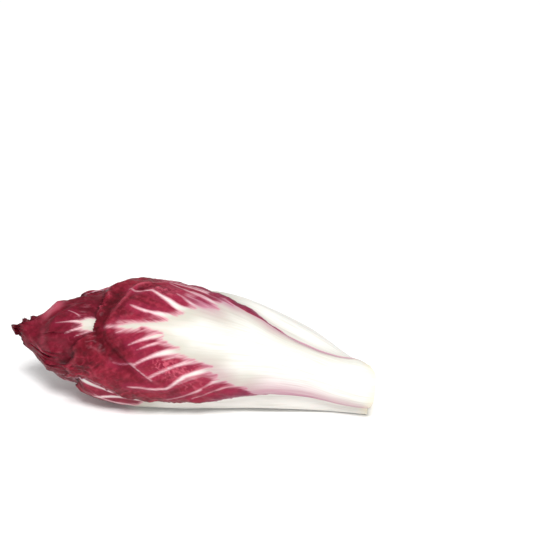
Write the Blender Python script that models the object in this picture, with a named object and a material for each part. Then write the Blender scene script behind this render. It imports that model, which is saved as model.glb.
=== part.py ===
"""A red endive head lying on its side: a dense, pointed bud of overlapping leaves on a short stem core.

Frame: metres, +Z up. +X runs along the head, from the pointed tip at -X to the cut base at +X. The head
lies on the table plane z = 0 on a narrow flat strip of its lowest leaf, and -Y is its front.

The whole head is one swept form, with a centre line and a radius at each station along X. Each leaf is
a thin closed shell on that form. It lies under the leaves that are further out, by their thickness and
a small gap, and comes up to the form's surface where they end.
"""

import math
import random
from dataclasses import dataclass

import bmesh
import bpy
import numpy as np

MM = 0.001

# Driving dimensions, in millimetres and degrees
LENGTH = 150.0
TIP_X = -LENGTH / 2
BASE_X = LENGTH / 2

# Radius of the whole head: (x, radius)
GIRTH = (
    (-75, 1.2), (-71, 5.3), (-64, 9.0), (-59, 12.7), (-55, 16.1), (-45, 20.4), (-30, 25.0), (-15, 26.2),
    (0, 25.2), (15, 23.3), (30, 20.6), (45, 17.3), (60, 13.4), (70, 11.3), (75, 10.4),
)
# Height of its lowest line over the table: (x, height). Below zero it is pressed flat.
UNDERSIDE = (
    (-75, 29.2), (-71, 23.4), (-64, 17.8), (-55, 9.2), (-45, 4.7), (-38, 2.4), (-30, 0.7), (-22, -0.2),
    (-10, -0.3), (56, -0.3), (68, 0.2), (75, 0.8),
)
# How far its centre line bows back from straight: (x, distance)
BOW = (
    (-75, -1.0), (-45, -1.0), (-20, 0.0), (-3, 0.6), (12, 2.4), (27, 4.0), (45, 4.3), (56, 3.8), (63, 2.6),
    (71, 0.8), (75, 0.0),
)
# The ribs of the three outer leaves stand out a little, at this angle and two more a third of a turn on
KEEL = ((-75, 0.0), (-50, 0.2), (0, 0.5), (60, 0.4), (75, 0.3))
KEEL_ANGLE = 42.0
# Shallow valley that crosses the front leaf near its end: (angle, x) along its bottom
VALLEY = ((-20, -12), (0, -20), (17, -29), (34, -35), (46, -36), (63, -34), (85, -29), (120, -28))
VALLEY_DEPTH = ((-20, 0.0), (0, 0.4), (34, 1.3), (63, 1.4), (80, 0.9), (98, 0.0), (120, 0.0))
VALLEY_WIDTH = 6.5

# Gap between one leaf and the next: (x, gap)
GAP = ((-75, 0.8), (-40, 0.8), (0, 0.75), (55, 0.75), (68, 0.5), (75, 0.45))
# How a leaf rises from under the edge of the leaf that covers it, in millimetres from that edge,
# where the head has at least FULL_GIRTH as its radius. Both shrink with the radius.
COVER_CLEAR = 2.4
COVER_RAMP = 10.0
FULL_GIRTH = 17.0
LEAST_SCALE = 0.25

# How square the leaves' ends are: 2 is a parabola, more is squarer. The front leaf's end goes by angle.
END_BEND = 2.5
FRONT_END = (
    (-37, -50.0), (-26, -48.0), (-12, -48.5), (-1, -49.0), (8, -46.0), (19, -44.8), (26, -43.8), (34, -40.5),
    (39, -37.2), (45, -36.5), (54, -36.2), (65, -36.0), (80, -35.2), (88, -35.0), (96, -33.8), (101, -31.0),
    (114, -27.0),
)
# How far the corners of the three outer leaves' bases are rounded off
BASE_ROUND = 3.0
NOTCHES = 41

# The inner leaves, which are alike: name, angle of the rib, station of the tip and seed
INNER_LEAVES = (
    ("inner_front", -8.0, -67.5, 71),
    ("inner_top", 108.0, -66.5, 83),
    ("inner_back", -132.0, -66.0, 97),
)

# Inside the leaves: (x, largest radius) of the stem core and of the closed bud over it
CORE = ((75, 8.0), (66, 6.4), (61, 3.9), (50, 3.2), (42, 2.4), (32, 1.4))
HEART = (
    (30.5, 2.2), (26, 5.0), (15, 12.0), (0, 20.0), (-55, 20.0), (-63, 7.0), (-68, 4.4), (-71.5, 3.0),
    (-73.8, 1.7), (-75, 0.9),
)
SNUG = 0.965
HEART_FOLD = 0.04
HEART_FOLDS = 5
HEART_TWIST = 3.0
CORE_CELLS = (32, 12)
HEART_CELLS = (22, 22)
ROW_CROWDING = 1.5

SHARP_ANGLE = 50.0

CREAM = (0.83, 0.80, 0.68, 1.0)
CRIMSON = (0.19, 0.018, 0.035, 1.0)
MAROON = (0.10, 0.010, 0.020, 1.0)
YELLOW_CREAM = (0.78, 0.70, 0.48, 1.0)

# Colour and roughness of each piece
FINISHES = {
    "leaf_front": (CRIMSON, 0.42),
    "leaf_under": (CREAM, 0.42),
    "leaf_back": (CRIMSON, 0.42),
    "leaf_tip": (CRIMSON, 0.45),
    "leaf_low": (CRIMSON, 0.45),
    "leaf_rear": (CRIMSON, 0.45),
    "inner_front": (MAROON, 0.50),
    "inner_top": (MAROON, 0.50),
    "inner_back": (MAROON, 0.50),
    "heart": (MAROON, 0.50),
    "stem_core": (YELLOW_CREAM, 0.55),
}


def curve(points):
    """Return a smooth function through (place, value) points, flat past both ends."""
    xs, ys = np.array(sorted(points), dtype=float).T
    step = np.diff(xs)
    slope = np.diff(ys) / step
    tangent = np.zeros_like(ys)
    left, right = slope[:-1], slope[1:]
    same_way = left * right > 0
    total = np.where(same_way, left + right, 1.0)
    tangent[1:-1] = np.where(same_way, 2 * left * right / total, 0.0)
    tangent[0], tangent[-1] = slope[0], slope[-1]

    def value(x):
        x = np.clip(np.asarray(x, dtype=float), xs[0], xs[-1])
        i = np.clip(np.searchsorted(xs, x) - 1, 0, len(xs) - 2)
        t = (x - xs[i]) / step[i]
        start = (1 + 2 * t) * (1 - t) ** 2 * ys[i] + t * (1 - t) ** 2 * step[i] * tangent[i]
        end = t * t * (3 - 2 * t) * ys[i + 1] + t * t * (t - 1) * step[i] * tangent[i + 1]
        return start + end

    return value


def smooth_step(value):
    """Ease from 0 to 1 as the value goes from 0 to 1."""
    t = np.clip(value, 0, 1)
    return t * t * (3 - 2 * t)


def turn(angle):
    """Bring an angle into -180 to 180 degrees."""
    return (angle + 180) % 360 - 180


girth = curve(GIRTH)
underside = curve(UNDERSIDE)
bow = curve(BOW)
keel = curve(KEEL)
gap = curve(GAP)
valley_x = curve(VALLEY)
valley_depth = curve(VALLEY_DEPTH)


def form_radius(x, angle):
    """Radius of the head's own surface, with its three ribs and the valley across its front."""
    a = turn(angle)
    away = (x - valley_x(a)) / VALLEY_WIDTH
    ribs = keel(x) * np.cos(np.radians(3 * (a - KEEL_ANGLE)))
    return girth(x) + ribs - valley_depth(a) * np.exp(-away * away)


def lean(x):
    """How much longer a thing of one thickness is measured straight in, where the form tapers."""
    taper = (girth(x + 1) - girth(x - 1)) / 2
    return np.sqrt(1 + taper * taper)


def place(x, angle, depth):
    """Point on the head, in metres, at a station x, an angle and a depth under its surface.

    Angle 0 faces the front, 90 the top, 180 the back and -90 the table.
    """
    reach = np.maximum(form_radius(x, angle) - depth, 0.0)
    a = np.radians(angle)
    z = girth(x) + underside(x) + reach * np.sin(a)
    return np.stack([x, bow(x) - reach * np.cos(a), z], axis=-1) * MM


@dataclass
class Leaf:
    """One leaf: its outline on the head, its thickness and the leaves that lie over it.

    base is the station where it starts, tip the station of its end's middle, and corners those of its
    end's two sides. middle is the angle of its rib. low and high give the angles of its margins, rib and
    edge its thickness along the rib and along the margins, all as (x, value) points. cells are the faces
    across and along it, and ragged is how far its end's notches go. end, where it is given, has the station
    of the end by angle, and rounded is how far the base's corners are cut back.
    """

    name: str
    base: float
    tip: float
    corners: tuple
    middle: float
    low: tuple
    high: tuple
    rib: tuple
    edge: tuple
    cells: tuple
    ragged: float
    seed: int
    end: tuple = ()
    rounded: float = 0.0

    def __post_init__(self):
        """Turn the point lists into smooth functions, and draw the notches of the end."""
        self.end = curve(self.end) if self.end else None
        self.low = curve(self.low)
        self.high = curve(self.high)
        self.rib = curve(self.rib)
        self.edge = curve(self.edge)
        self.over = []
        rng = random.Random(self.seed)
        self.notches = [rng.uniform(-1, 1) for _ in range(NOTCHES)]

    def end_x(self, u):
        """Where the leaf's far end lies, for a place u from -1 to 1 across it."""
        ripple = np.interp(u, np.linspace(-1, 1, NOTCHES), self.notches)
        if self.end is not None:
            plain = self.end(self.angle(np.full_like(u, self.tip), u))
        else:
            plain = self.tip + self.set_back(u) * np.abs(u) ** END_BEND
        return plain + self.ragged * ripple

    def from_end(self, x, u):
        """Distance of a point from the far end's line, square to it."""
        near = np.clip(u, -1, 1)
        if self.end is not None:
            at_tip = np.full_like(near, self.tip)
            ahead = self.end(self.angle(at_tip, near + 0.02))
            slant = (ahead - self.end(self.angle(at_tip, near - 0.02))) / 0.04
        else:
            slant = END_BEND * self.set_back(u) * np.abs(near) ** (END_BEND - 1)
        reach = self.half_width(x, u) * np.pi / 180 * girth(x)
        return (x - self.end_x(near)) / np.sqrt(1 + (slant / reach) ** 2)

    def set_back(self, u):
        """How far the end's corner lies back from its middle, on the side that u is on."""
        return np.where(u < 0, self.corners[0], self.corners[1]) - self.tip

    def half_width(self, x, u):
        """Angle from the leaf's middle line to its margin, on the side that u is on."""
        return np.where(u < 0, self.middle - self.low(x), self.high(x) - self.middle)

    def angle(self, x, u):
        """Angle round the head of a place u across the leaf."""
        return self.middle + u * self.half_width(x, u)

    def across_at(self, x, angle):
        """Place across the leaf, -1 to 1 inside its margins, of a point on the head."""
        off = turn(angle - self.middle)
        return off / self.half_width(x, off)

    def thickness(self, x, u):
        """Thickness at a place on the leaf: a thick rib and thin margins."""
        inside = np.clip(np.abs(u), 0, 1)
        return (self.edge(x) + (self.rib(x) - self.edge(x)) * (1 - inside ** 2)) * lean(x)

    def cover(self, x, angle):
        """1 where this leaf lies over a point, easing to 0 past its outline."""
        u = self.across_at(x, angle)
        reach = self.half_width(x, u) * np.pi / 180 * girth(x)
        side = (1 - np.abs(u)) * reach
        inside = np.minimum(np.minimum(side, self.from_end(x, u)), self.base - x)
        scale = np.clip(girth(x) / FULL_GIRTH, LEAST_SCALE, 1)
        return smooth_step(1 + (inside / scale + COVER_CLEAR) / (COVER_RAMP - COVER_CLEAR))

    def faces(self, grid):
        """Points of the outer and the inner face, for a grid from -1 to 1 across and along the leaf."""
        u, v = grid[:, 0], (grid[:, 1] + 1) / 2
        start = self.base - self.rounded * np.abs(u) ** 4
        x = start + (self.end_x(u) - start) * v
        angle = self.angle(x, u)
        depth = depth_under(self.over, x, angle)
        outer = place(x, angle, depth)
        inner = place(x, angle, depth + self.thickness(x, u))
        outer[:, 2] = np.maximum(outer[:, 2], 0.0)
        return outer, inner

    def build(self):
        """Make the leaf as one closed shell from a grid sheet and its copy further in."""
        bm = bmesh.new()
        across, along = self.cells
        bmesh.ops.create_grid(bm, x_segments=across, y_segments=along, size=1.0)
        outer, inner = self.faces(np.array([vert.co.xy for vert in bm.verts]))
        number = bm.verts.layers.int.new("number")
        for n, vert in enumerate(bm.verts):
            vert[number] = n
            vert.co = outer[n]
        bmesh.ops.triangulate(bm, faces=bm.faces[:], quad_method="SHORT_EDGE")
        shell = bmesh.ops.extrude_face_region(bm, geom=bm.faces[:], use_keep_orig=True)
        for item in shell["geom"]:
            if isinstance(item, bmesh.types.BMVert):
                item.co = inner[item[number]]
        bmesh.ops.triangulate(bm, faces=bm.faces[:])
        bmesh.ops.recalc_face_normals(bm, faces=bm.faces[:])
        finish_object(self.name, bm)


def depth_under(leaves, x, angle):
    """How far under the head's surface a face lies that has these leaves over it."""
    total = np.zeros_like(x)
    for leaf in leaves:
        thick = leaf.thickness(x, leaf.across_at(x, angle))
        total += leaf.cover(x, angle) * (thick + gap(x) * lean(x))
    return total


def finish_object(name, bm):
    """Turn a bmesh into a named object with smooth faces and a material of its own."""
    mesh = bpy.data.meshes.new(name)
    bm.to_mesh(mesh)
    bm.free()
    mesh.materials.append(make_material(name, *FINISHES[name]))
    mesh.shade_smooth()
    mesh.set_sharp_from_angle(angle=math.radians(SHARP_ANGLE))
    bpy.context.collection.objects.link(bpy.data.objects.new(name, mesh))


def make_material(name, color, roughness):
    """A plain Principled material with the given colour and roughness."""
    material = bpy.data.materials.new(name)
    material.use_nodes = True
    shader = material.node_tree.nodes["Principled BSDF"]
    shader.inputs["Base Color"].default_value = color
    shader.inputs["Roughness"].default_value = roughness
    shader.inputs["Metallic"].default_value = 0.0
    return material


def outer_leaves():
    """The three large leaves that show most, outermost first."""
    rib = ((75, 2.8), (60, 3.5), (45, 3.6), (0, 1.9), (-35, 1.0), (-50, 0.9))
    edge = ((75, 1.2), (45, 1.1), (10, 0.9), (-50, 0.9))
    front = Leaf(
        "leaf_front", base=BASE_X, tip=-40.0, corners=(-48.0, -33.0), middle=43.0,
        low=((75, -42), (70, -42), (65, -36), (59, -26), (55, -20), (49, -15), (42, -14), (35, -15), (29, -19),
             (23, -24), (18, -29), (14, -33), (9, -38), (5, -41), (-14, -42), (-23, -38), (-30, -28),
             (-36, -20), (-40, -18), (-48, -26)),
        high=((75, 100), (70, 97), (64, 80), (58, 69), (51, 62), (45, 61), (38, 65), (32, 72), (28, 80),
              (23, 88), (18, 94), (11, 104), (4, 114), (-5, 121), (-20, 122), (-34, 110)),
        rib=rib, edge=edge, cells=(17, 25), ragged=0.6, seed=11, end=FRONT_END, rounded=BASE_ROUND,
    )
    under = Leaf(
        "leaf_under", base=BASE_X - 0.8, tip=-45.0, corners=(-36.0, -43.0), middle=-88.0,
        low=((75, -152), (55, -166), (20, -172), (-20, -162), (-45, -140)),
        high=((75, -26), (70, -25), (64, -17), (58, -7), (50, 1), (42, 2), (35, 0), (28, -4), (23, -9),
              (18, -14), (13, -19), (5, -26), (-14, -28), (-23, -24), (-30, -14), (-38, -8), (-45, -8)),
        rib=rib, edge=edge, cells=(19, 25), ragged=1.0, seed=23, rounded=BASE_ROUND,
    )
    back = Leaf(
        "leaf_back", base=BASE_X, tip=-49.0, corners=(-43.0, -38.0), middle=160.0,
        low=((75, 86), (70, 82), (64, 66), (58, 54), (51, 47), (45, 46), (38, 50), (32, 57), (28, 65),
             (23, 73), (18, 79), (11, 89), (4, 98), (-5, 105), (-20, 109), (-34, 107), (-45, 111)),
        high=((75, 224), (55, 211), (20, 205), (-20, 214), (-45, 230)),
        rib=rib, edge=edge, cells=(16, 24), ragged=1.2, seed=37, rounded=BASE_ROUND,
    )
    return [front, under, back]


def middle_leaves():
    """The second round of leaves, which show past the ends of the outer ones."""
    rib = ((60, 2.3), (0, 1.5), (-40, 0.95), (-72, 0.85))
    edge = ((60, 1.0), (30, 0.9), (-72, 0.85))
    tip = Leaf(
        "leaf_tip", base=60.0, tip=-70.2, corners=(-67.5, -59.0), middle=50.0,
        low=((60, -28), (30, -30), (-35, -45), (-72, -52)),
        high=((60, 116), (0, 120), (-40, 106), (-54, 102), (-62, 88), (-72, 66)),
        rib=rib, edge=edge, cells=(13, 24), ragged=0.8, seed=41,
    )
    low = Leaf(
        "leaf_low", base=60.0, tip=-66.0, corners=(-60.0, -66.0), middle=-88.0,
        low=((60, -150), (0, -154), (-72, -148)),
        high=((60, -10), (0, -12), (-35, -22), (-72, -30)),
        rib=rib, edge=edge, cells=(12, 22), ragged=0.8, seed=53,
    )
    rear = Leaf(
        "leaf_rear", base=60.0, tip=-63.5, corners=(-56.0, -54.0), middle=162.0,
        low=((60, 96), (0, 100), (-40, 88), (-72, 84)),
        high=((60, 230), (0, 226), (-72, 232)),
        rib=rib, edge=edge, cells=(12, 22), ragged=0.8, seed=67,
    )
    return [tip, low, rear]


def inner_leaves():
    """The third round: smaller leaves that close the pointed end."""
    rib = ((50, 1.7), (0, 1.2), (-72, 0.85))
    edge = ((50, 0.9), (-72, 0.85))
    leaves = []
    for name, middle, tip, seed in INNER_LEAVES:
        leaves.append(Leaf(
            name, base=50.0, tip=tip, corners=(tip + 7, tip + 5), middle=middle,
            low=((50, middle - 66), (-72, middle - 70)),
            high=((50, middle + 66), (-72, middle + 72)),
            rib=rib, edge=edge, cells=(11, 23), ragged=0.5, seed=seed,
        ))
    return leaves


def build_spindle(name, outline, leaves, fold, cells):
    """Make a solid that fills the room inside the leaves, up to its own outline.

    fold is how deep its lengthwise folds are, as a share of its radius. The rows of its faces get closer
    together towards its tip end.
    """
    base, tip = outline[0][0], outline[-1][0]
    limit = curve(outline)
    sides, rows = cells
    bm = bmesh.new()
    bmesh.ops.create_cone(
        bm, cap_ends=True, cap_tris=True, segments=sides, radius1=1.0, radius2=1.0, depth=2.0)
    rails = [edge for edge in bm.edges if abs(edge.verts[0].co.z - edge.verts[1].co.z) > 1]
    bmesh.ops.subdivide_edges(bm, edges=rails, cuts=rows - 1, use_grid_fill=True)
    bar = np.array([vert.co for vert in bm.verts])
    x = tip + (base - tip) * ((1 - bar[:, 2]) / 2) ** ROW_CROWDING
    angle = np.degrees(np.arctan2(bar[:, 1], bar[:, 0]))
    surface = form_radius(x, angle)
    room = surface - depth_under(leaves, x, angle)
    wave = 1 + np.cos(np.radians(HEART_FOLDS * angle + HEART_TWIST * x))
    reach = np.minimum(room * (SNUG - fold * wave), limit(x))
    on_rim = np.hypot(bar[:, 0], bar[:, 1]) > 0.5
    reach = np.where(on_rim, reach, 0.0)
    for vert, point in zip(bm.verts, place(x, angle, surface - reach)):
        vert.co = point
    bmesh.ops.triangulate(bm, faces=bm.faces[:])
    bmesh.ops.recalc_face_normals(bm, faces=bm.faces[:])
    finish_object(name, bm)


def build_head():
    """Build every piece of the head, outermost leaf first."""
    for thing in list(bpy.data.objects):
        bpy.data.objects.remove(thing)
    leaves = outer_leaves() + middle_leaves() + inner_leaves()
    for number, leaf in enumerate(leaves):
        leaf.over = leaves[:number]
        leaf.build()
    build_spindle("heart", HEART, leaves, HEART_FOLD, HEART_CELLS)
    build_spindle("stem_core", CORE, leaves, 0.0, CORE_CELLS)


build_head()
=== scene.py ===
"""Looks of a red endive head that lies on its side on a pale table.

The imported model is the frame. Each leaf, the closed bud in the middle and the stem core get a finer mesh on
the same swept form, which stands for the solid. Where a leaf is pale and where it is red is worked out as a
distance over the leaf and kept in attributes, which the materials turn into colour, gloss and relief.

Lengths are millimetres and angles degrees, and a mesh is written in metres. +Z is up, the pointed tip is at
-X, the cut base at +X and the front at -Y. Angle 0 round the head faces the front, 90 the top, 180 the back
and -90 the table.
"""

import logging
import math
import random
from collections.abc import Sequence
from dataclasses import dataclass, field
from enum import Enum

import bmesh
import bpy
import numpy as np
from mathutils import Matrix, Vector


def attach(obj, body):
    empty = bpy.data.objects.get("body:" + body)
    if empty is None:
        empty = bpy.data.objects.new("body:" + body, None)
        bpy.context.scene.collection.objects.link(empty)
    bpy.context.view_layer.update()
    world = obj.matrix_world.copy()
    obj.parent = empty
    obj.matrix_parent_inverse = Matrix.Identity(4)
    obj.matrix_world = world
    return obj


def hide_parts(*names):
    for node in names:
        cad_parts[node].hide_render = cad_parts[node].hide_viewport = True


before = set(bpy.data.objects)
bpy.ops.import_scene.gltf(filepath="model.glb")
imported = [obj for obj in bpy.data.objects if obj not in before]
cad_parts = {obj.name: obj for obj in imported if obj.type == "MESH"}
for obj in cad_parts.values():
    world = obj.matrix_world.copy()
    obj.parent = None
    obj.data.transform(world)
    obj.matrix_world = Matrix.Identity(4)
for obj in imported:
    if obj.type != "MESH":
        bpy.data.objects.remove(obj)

log = logging.getLogger("red_endive")

Array = np.ndarray
Color = tuple[float, float, float, float]
Points = tuple[tuple[float, float], ...]
Socket = bpy.types.NodeSocket
Inputs = dict[str | int, Socket | float | Color]

MM = 0.001
BODY = "root"
SHARP_ANGLE = math.radians(55)
# Least and largest value that an attribute holds
MARK_RANGE = (-8, 12)
WHITE = (1.0, 1.0, 1.0, 1.0)


class Slot(Enum):
    """The material slots of the record."""

    OUTER = "outer_leaf"
    MIDDLE = "middle_leaf"
    INNER = "inner_leaf"
    HEART = "heart"
    STEM = "stem"


class Profile:
    """A smooth function through (place, value) points, level past both ends."""

    def __init__(self, *points: tuple[float, float]) -> None:
        """Fit the function.

        Args:
            points: Each place with the value there, in any order.
        """
        self.places, self.values = np.array(sorted(points), dtype=float).T
        self.steps = np.diff(self.places)
        slopes = np.diff(self.values) / self.steps
        before, after = slopes[:-1], slopes[1:]
        same_way = before * after > 0
        total = np.where(same_way, before + after, 1.0)
        self.tangents = np.zeros_like(self.values)
        self.tangents[1:-1] = np.where(same_way, 2 * before * after / total, 0.0)
        self.tangents[0], self.tangents[-1] = slopes[0], slopes[-1]

    def __call__(self, place: Array | float) -> Array:
        """Value of the function.

        Args:
            place: One place or many.

        Returns:
            The values, in the shape of place.
        """
        x = np.clip(np.asarray(place, dtype=float), self.places[0], self.places[-1])
        i = np.clip(np.searchsorted(self.places, x) - 1, 0, len(self.places) - 2)
        step = self.steps[i]
        t = (x - self.places[i]) / step
        start = (1 + 2 * t) * (1 - t) ** 2 * self.values[i] + t * (1 - t) ** 2 * step * self.tangents[i]
        end = t * t * (3 - 2 * t) * self.values[i + 1] + t * t * (t - 1) * step * self.tangents[i + 1]
        return start + end


class Ripple:
    """A smooth random relief over a plane, made of plane waves of about one length."""

    def __init__(self, length: float, seed: int, stretch: float = 1.0, waves: int = 18) -> None:
        """Draw the waves.

        Args:
            length: Usual length of a wave.
            seed: Seed of the random draw.
            stretch: How much longer the waves are along the leaf than across it.
            waves: How many there are.
        """
        rng = np.random.default_rng(seed)
        heading = rng.uniform(0, 2 * np.pi, waves)
        rate = 2 * np.pi / length * rng.uniform(0.7, 1.5, waves)
        self.along = rate * np.cos(heading) / stretch
        self.across = rate * np.sin(heading)
        self.start = rng.uniform(0, 2 * np.pi, waves)
        self.scale = math.sqrt(2 / waves)

    def __call__(self, along: Array, across: Array) -> Array:
        """Height of the relief, mostly within -2 to 2, at points given along and across the leaf."""
        phase = along[:, None] * self.along + across[:, None] * self.across + self.start
        return np.cos(phase).sum(axis=1) * self.scale


def each(kind: type, *rows: tuple) -> tuple:
    """One thing of a kind for each row of its values."""
    return tuple(kind(*row) for row in rows)


def smooth_step(value: Array) -> Array:
    """Ease from 0 to 1 as the value goes from 0 to 1."""
    t = np.clip(value, 0, 1)
    return t * t * (3 - 2 * t)


def turn(angle: Array) -> Array:
    """Bring an angle into -180 to 180 degrees."""
    return (angle + 180) % 360 - 180


def paint(red: int, green: int, blue: int) -> Color:
    """Turn a colour as a screen shows it into a shader's.

    Args:
        red: Red part, from 0 to 255.
        green: Green part.
        blue: Blue part.

    Returns:
        The linear colour, opaque.
    """
    linear = []
    for part in (red, green, blue):
        share = part / 255
        linear.append(share / 12.92 if share <= 0.04045 else ((share + 0.055) / 1.055) ** 2.4)
    return (*linear, 1.0)


@dataclass(frozen=True)
class HeadForm:
    """The swept form that every leaf lies on, with a centre line and a radius at each station along X.

    girth is its radius, underside the height of its lowest line and bow how far the centre line lies back.
    keel is how far the ribs of the three outer leaves stand out, at keel_angle and a third of a turn on. The
    valley crosses the front leaf near its end, as stations and depths by angle. gap is the room between one
    leaf and the next.
    """

    girth: Profile = Profile(
        (-75, 1.2), (-71, 5.3), (-64, 9.0), (-59, 12.7), (-55, 16.1), (-45, 20.4), (-30, 25.0), (-15, 26.2),
        (0, 25.2), (15, 23.3), (30, 20.6), (45, 17.3), (60, 13.4), (70, 11.3), (75, 10.4))
    underside: Profile = Profile(
        (-75, 29.2), (-71, 23.4), (-64, 17.8), (-55, 9.2), (-45, 4.7), (-38, 2.4), (-30, 0.7), (-22, -0.2),
        (-10, -0.3), (56, -0.3), (68, 0.2), (75, 0.8))
    bow: Profile = Profile(
        (-75, -1.0), (-45, -1.0), (-20, 0.0), (-3, 0.6), (12, 2.4), (27, 4.0), (45, 4.3), (56, 3.8),
        (63, 2.6), (71, 0.8), (75, 0.0))
    keel: Profile = Profile((-75, 0.0), (-50, 0.2), (0, 0.5), (60, 0.4), (75, 0.3))
    keel_angle: float = 42.0
    valley: Profile = Profile(
        (-20, -12), (0, -20), (17, -29), (34, -35), (46, -36), (63, -34), (85, -29), (120, -28))
    valley_depth: Profile = Profile(
        (-20, 0.0), (0, 0.4), (34, 1.3), (63, 1.4), (80, 0.9), (98, 0.0), (120, 0.0))
    valley_width: float = 6.5
    gap: Profile = Profile((-75, 0.8), (-40, 0.8), (0, 0.75), (55, 0.75), (68, 0.5), (75, 0.45))

    def radius(self, x: Array, angle: Array) -> Array:
        """Radius of the form's own surface.

        Args:
            x: Stations along the head.
            angle: Angles round it.

        Returns:
            The radius at each point.
        """
        a = turn(angle)
        away = (x - self.valley(a)) / self.valley_width
        ribs = self.keel(x) * np.cos(np.radians(3 * (a - self.keel_angle)))
        return self.girth(x) + ribs - self.valley_depth(a) * np.exp(-away * away)

    def lean(self, x: Array) -> Array:
        """How much longer a thing of one thickness is measured straight in, where the form tapers."""
        taper = (self.girth(x + 1) - self.girth(x - 1)) / 2
        return np.sqrt(1 + taper * taper)

    def place(self, x: Array, angle: Array, depth: Array) -> Array:
        """Points on the head.

        Args:
            x: Stations along the head.
            angle: Angles round it.
            depth: Depths under its surface.

        Returns:
            One row of x, y and z in metres for each point.
        """
        reach = np.maximum(self.radius(x, angle) - depth, 0.0)
        a = np.radians(angle)
        z = self.girth(x) + self.underside(x) + reach * np.sin(a)
        return np.stack([x, self.bow(x) - reach * np.cos(a), z], axis=-1) * MM

    def arc(self, x: Array, angle: Array) -> Array:
        """Length round the head that an angle spans."""
        return np.radians(angle) * self.girth(x)

    def angle_of(self, x: Array, arc: Array) -> Array:
        """Angle that a length round the head spans."""
        return np.degrees(arc / self.girth(x))


HEAD = HeadForm()


@dataclass(frozen=True)
class CrossFold:
    """The sharp cross fold of the front leaf: a low ridge, then a step down towards the tip.

    line is its station by angle, drop and ridge are the step's depth and the ridge's height by angle, and
    light is how strong the painted highlight on the ridge is. step is how far the surface takes to fall,
    level how far it stays low and back how far it takes to come up again. foot_shade and behind_shade are how
    dark the painted shade is under the step and on the ridge's base side.
    """

    line: Profile = Profile(
        (-16.5, -8.8), (-10, -12.5), (-1.5, -16.2), (7.5, -20.5), (16, -25.0), (24.5, -28.5), (30.5, -30.8),
        (42, -31.5), (52.5, -30.5), (62, -28.8), (74, -26.2), (85.5, -24.2), (92, -20.8), (96, -16.0),
        (100, -12.0))
    drop: Profile = Profile(
        (-18, 0.0), (-8, 0.4), (8, 1.0), (25, 1.3), (50, 1.2), (80, 1.1), (96, 0.2), (104, 0.0))
    ridge: Profile = Profile((-18, 0.0), (-5, 0.3), (30, 0.25), (70, 0.4), (88, 0.5), (105, 0.0))
    # How strong the painted highlight on the ridge is, by angle
    light: Profile = Profile(
        (-18, 0.0), (-8, 0.2), (10, 0.15), (30, 0.15), (45, 0.3), (62, 0.42), (86, 0.45), (98, 0.3),
        (108, 0.0))
    ridge_width: float = 1.5
    step: float = 2.2
    level: float = 3.0
    back: float = 7.0
    foot_shade: float = 0.88
    behind_shade: float = 0.4

    def away(self, x: Array, angle: Array) -> Array:
        """Distance square to the fold, more than 0 on its base side."""
        slope = (self.line(angle + 1) - self.line(angle - 1)) / HEAD.arc(x, 2.0)
        return (x - self.line(angle)) / np.sqrt(1 + slope * slope)

    def depth(self, x: Array, angle: Array) -> Array:
        """How far the fold takes the surface in.

        Args:
            x: Stations of the points.
            angle: Angles of the points.

        Returns:
            The depth at each point, less than 0 on the ridge.
        """
        a = turn(angle)
        away = self.away(x, a)
        fall = smooth_step((0.5 - away) / self.step) * (1 - smooth_step((-away - self.level) / self.back))
        crest = np.exp(-((away - 0.9) / self.ridge_width) ** 2)
        return self.drop(a) * fall - self.ridge(a) * crest

    def shade(self, x: Array, angle: Array) -> Array:
        """How dark the painted shade of the fold makes the surface.

        Args:
            x: Stations of the points.
            angle: Angles of the points.

        Returns:
            The painted shade at each point, less than 0 where a painted highlight makes the ridge lighter.
        """
        a = turn(angle)
        away = self.away(x, a)
        steep = np.clip(self.drop(a), 0, 1)
        # Painted shade under the step and behind the ridge, less a painted highlight on the ridge
        foot = self.foot_shade * steep * np.exp(-((away + self.level) / self.step) ** 2)
        behind = self.behind_shade * steep * np.exp(-((away - 3.2) / 1.3) ** 2)
        return foot + behind - self.light(a) * np.exp(-((away - 0.8) / self.ridge_width) ** 2)


@dataclass(frozen=True)
class Swelling:
    """One small rise or dip: its place, its half lengths along and across, its height and its turn.

    Its last field is how dark a painted shade makes its middle, or, where it is less than 0, how much lighter
    a painted highlight makes it; in a blush it is instead the strength of the mauve tint.
    """

    x: float
    angle: float
    along: float
    across: float
    height: float
    turned: float = 0.0
    painted_light_and_tint: float = 0.0

    def share(self, x: Array, angle: Array) -> Array:
        """How much of the swelling points get.

        Args:
            x: Stations of the points.
            angle: Angles of the points.

        Returns:
            1 at its centre, easing to 0 around it.
        """
        run = x - self.x
        side = HEAD.arc(x, turn(angle - self.angle))
        c, s = math.cos(math.radians(self.turned)), math.sin(math.radians(self.turned))
        first = (run * c + side * s) / self.along
        second = (side * c - run * s) / self.across
        return np.exp(-first * first - second * second)


@dataclass(frozen=True)
class Crumple:
    """A crinkled patch of a leaf: where it is and how strong, and the relief that it has.

    The patch's last field is here how strong the painted highlight on the crests is.
    """

    patch: Swelling
    relief: Ripple


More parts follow.
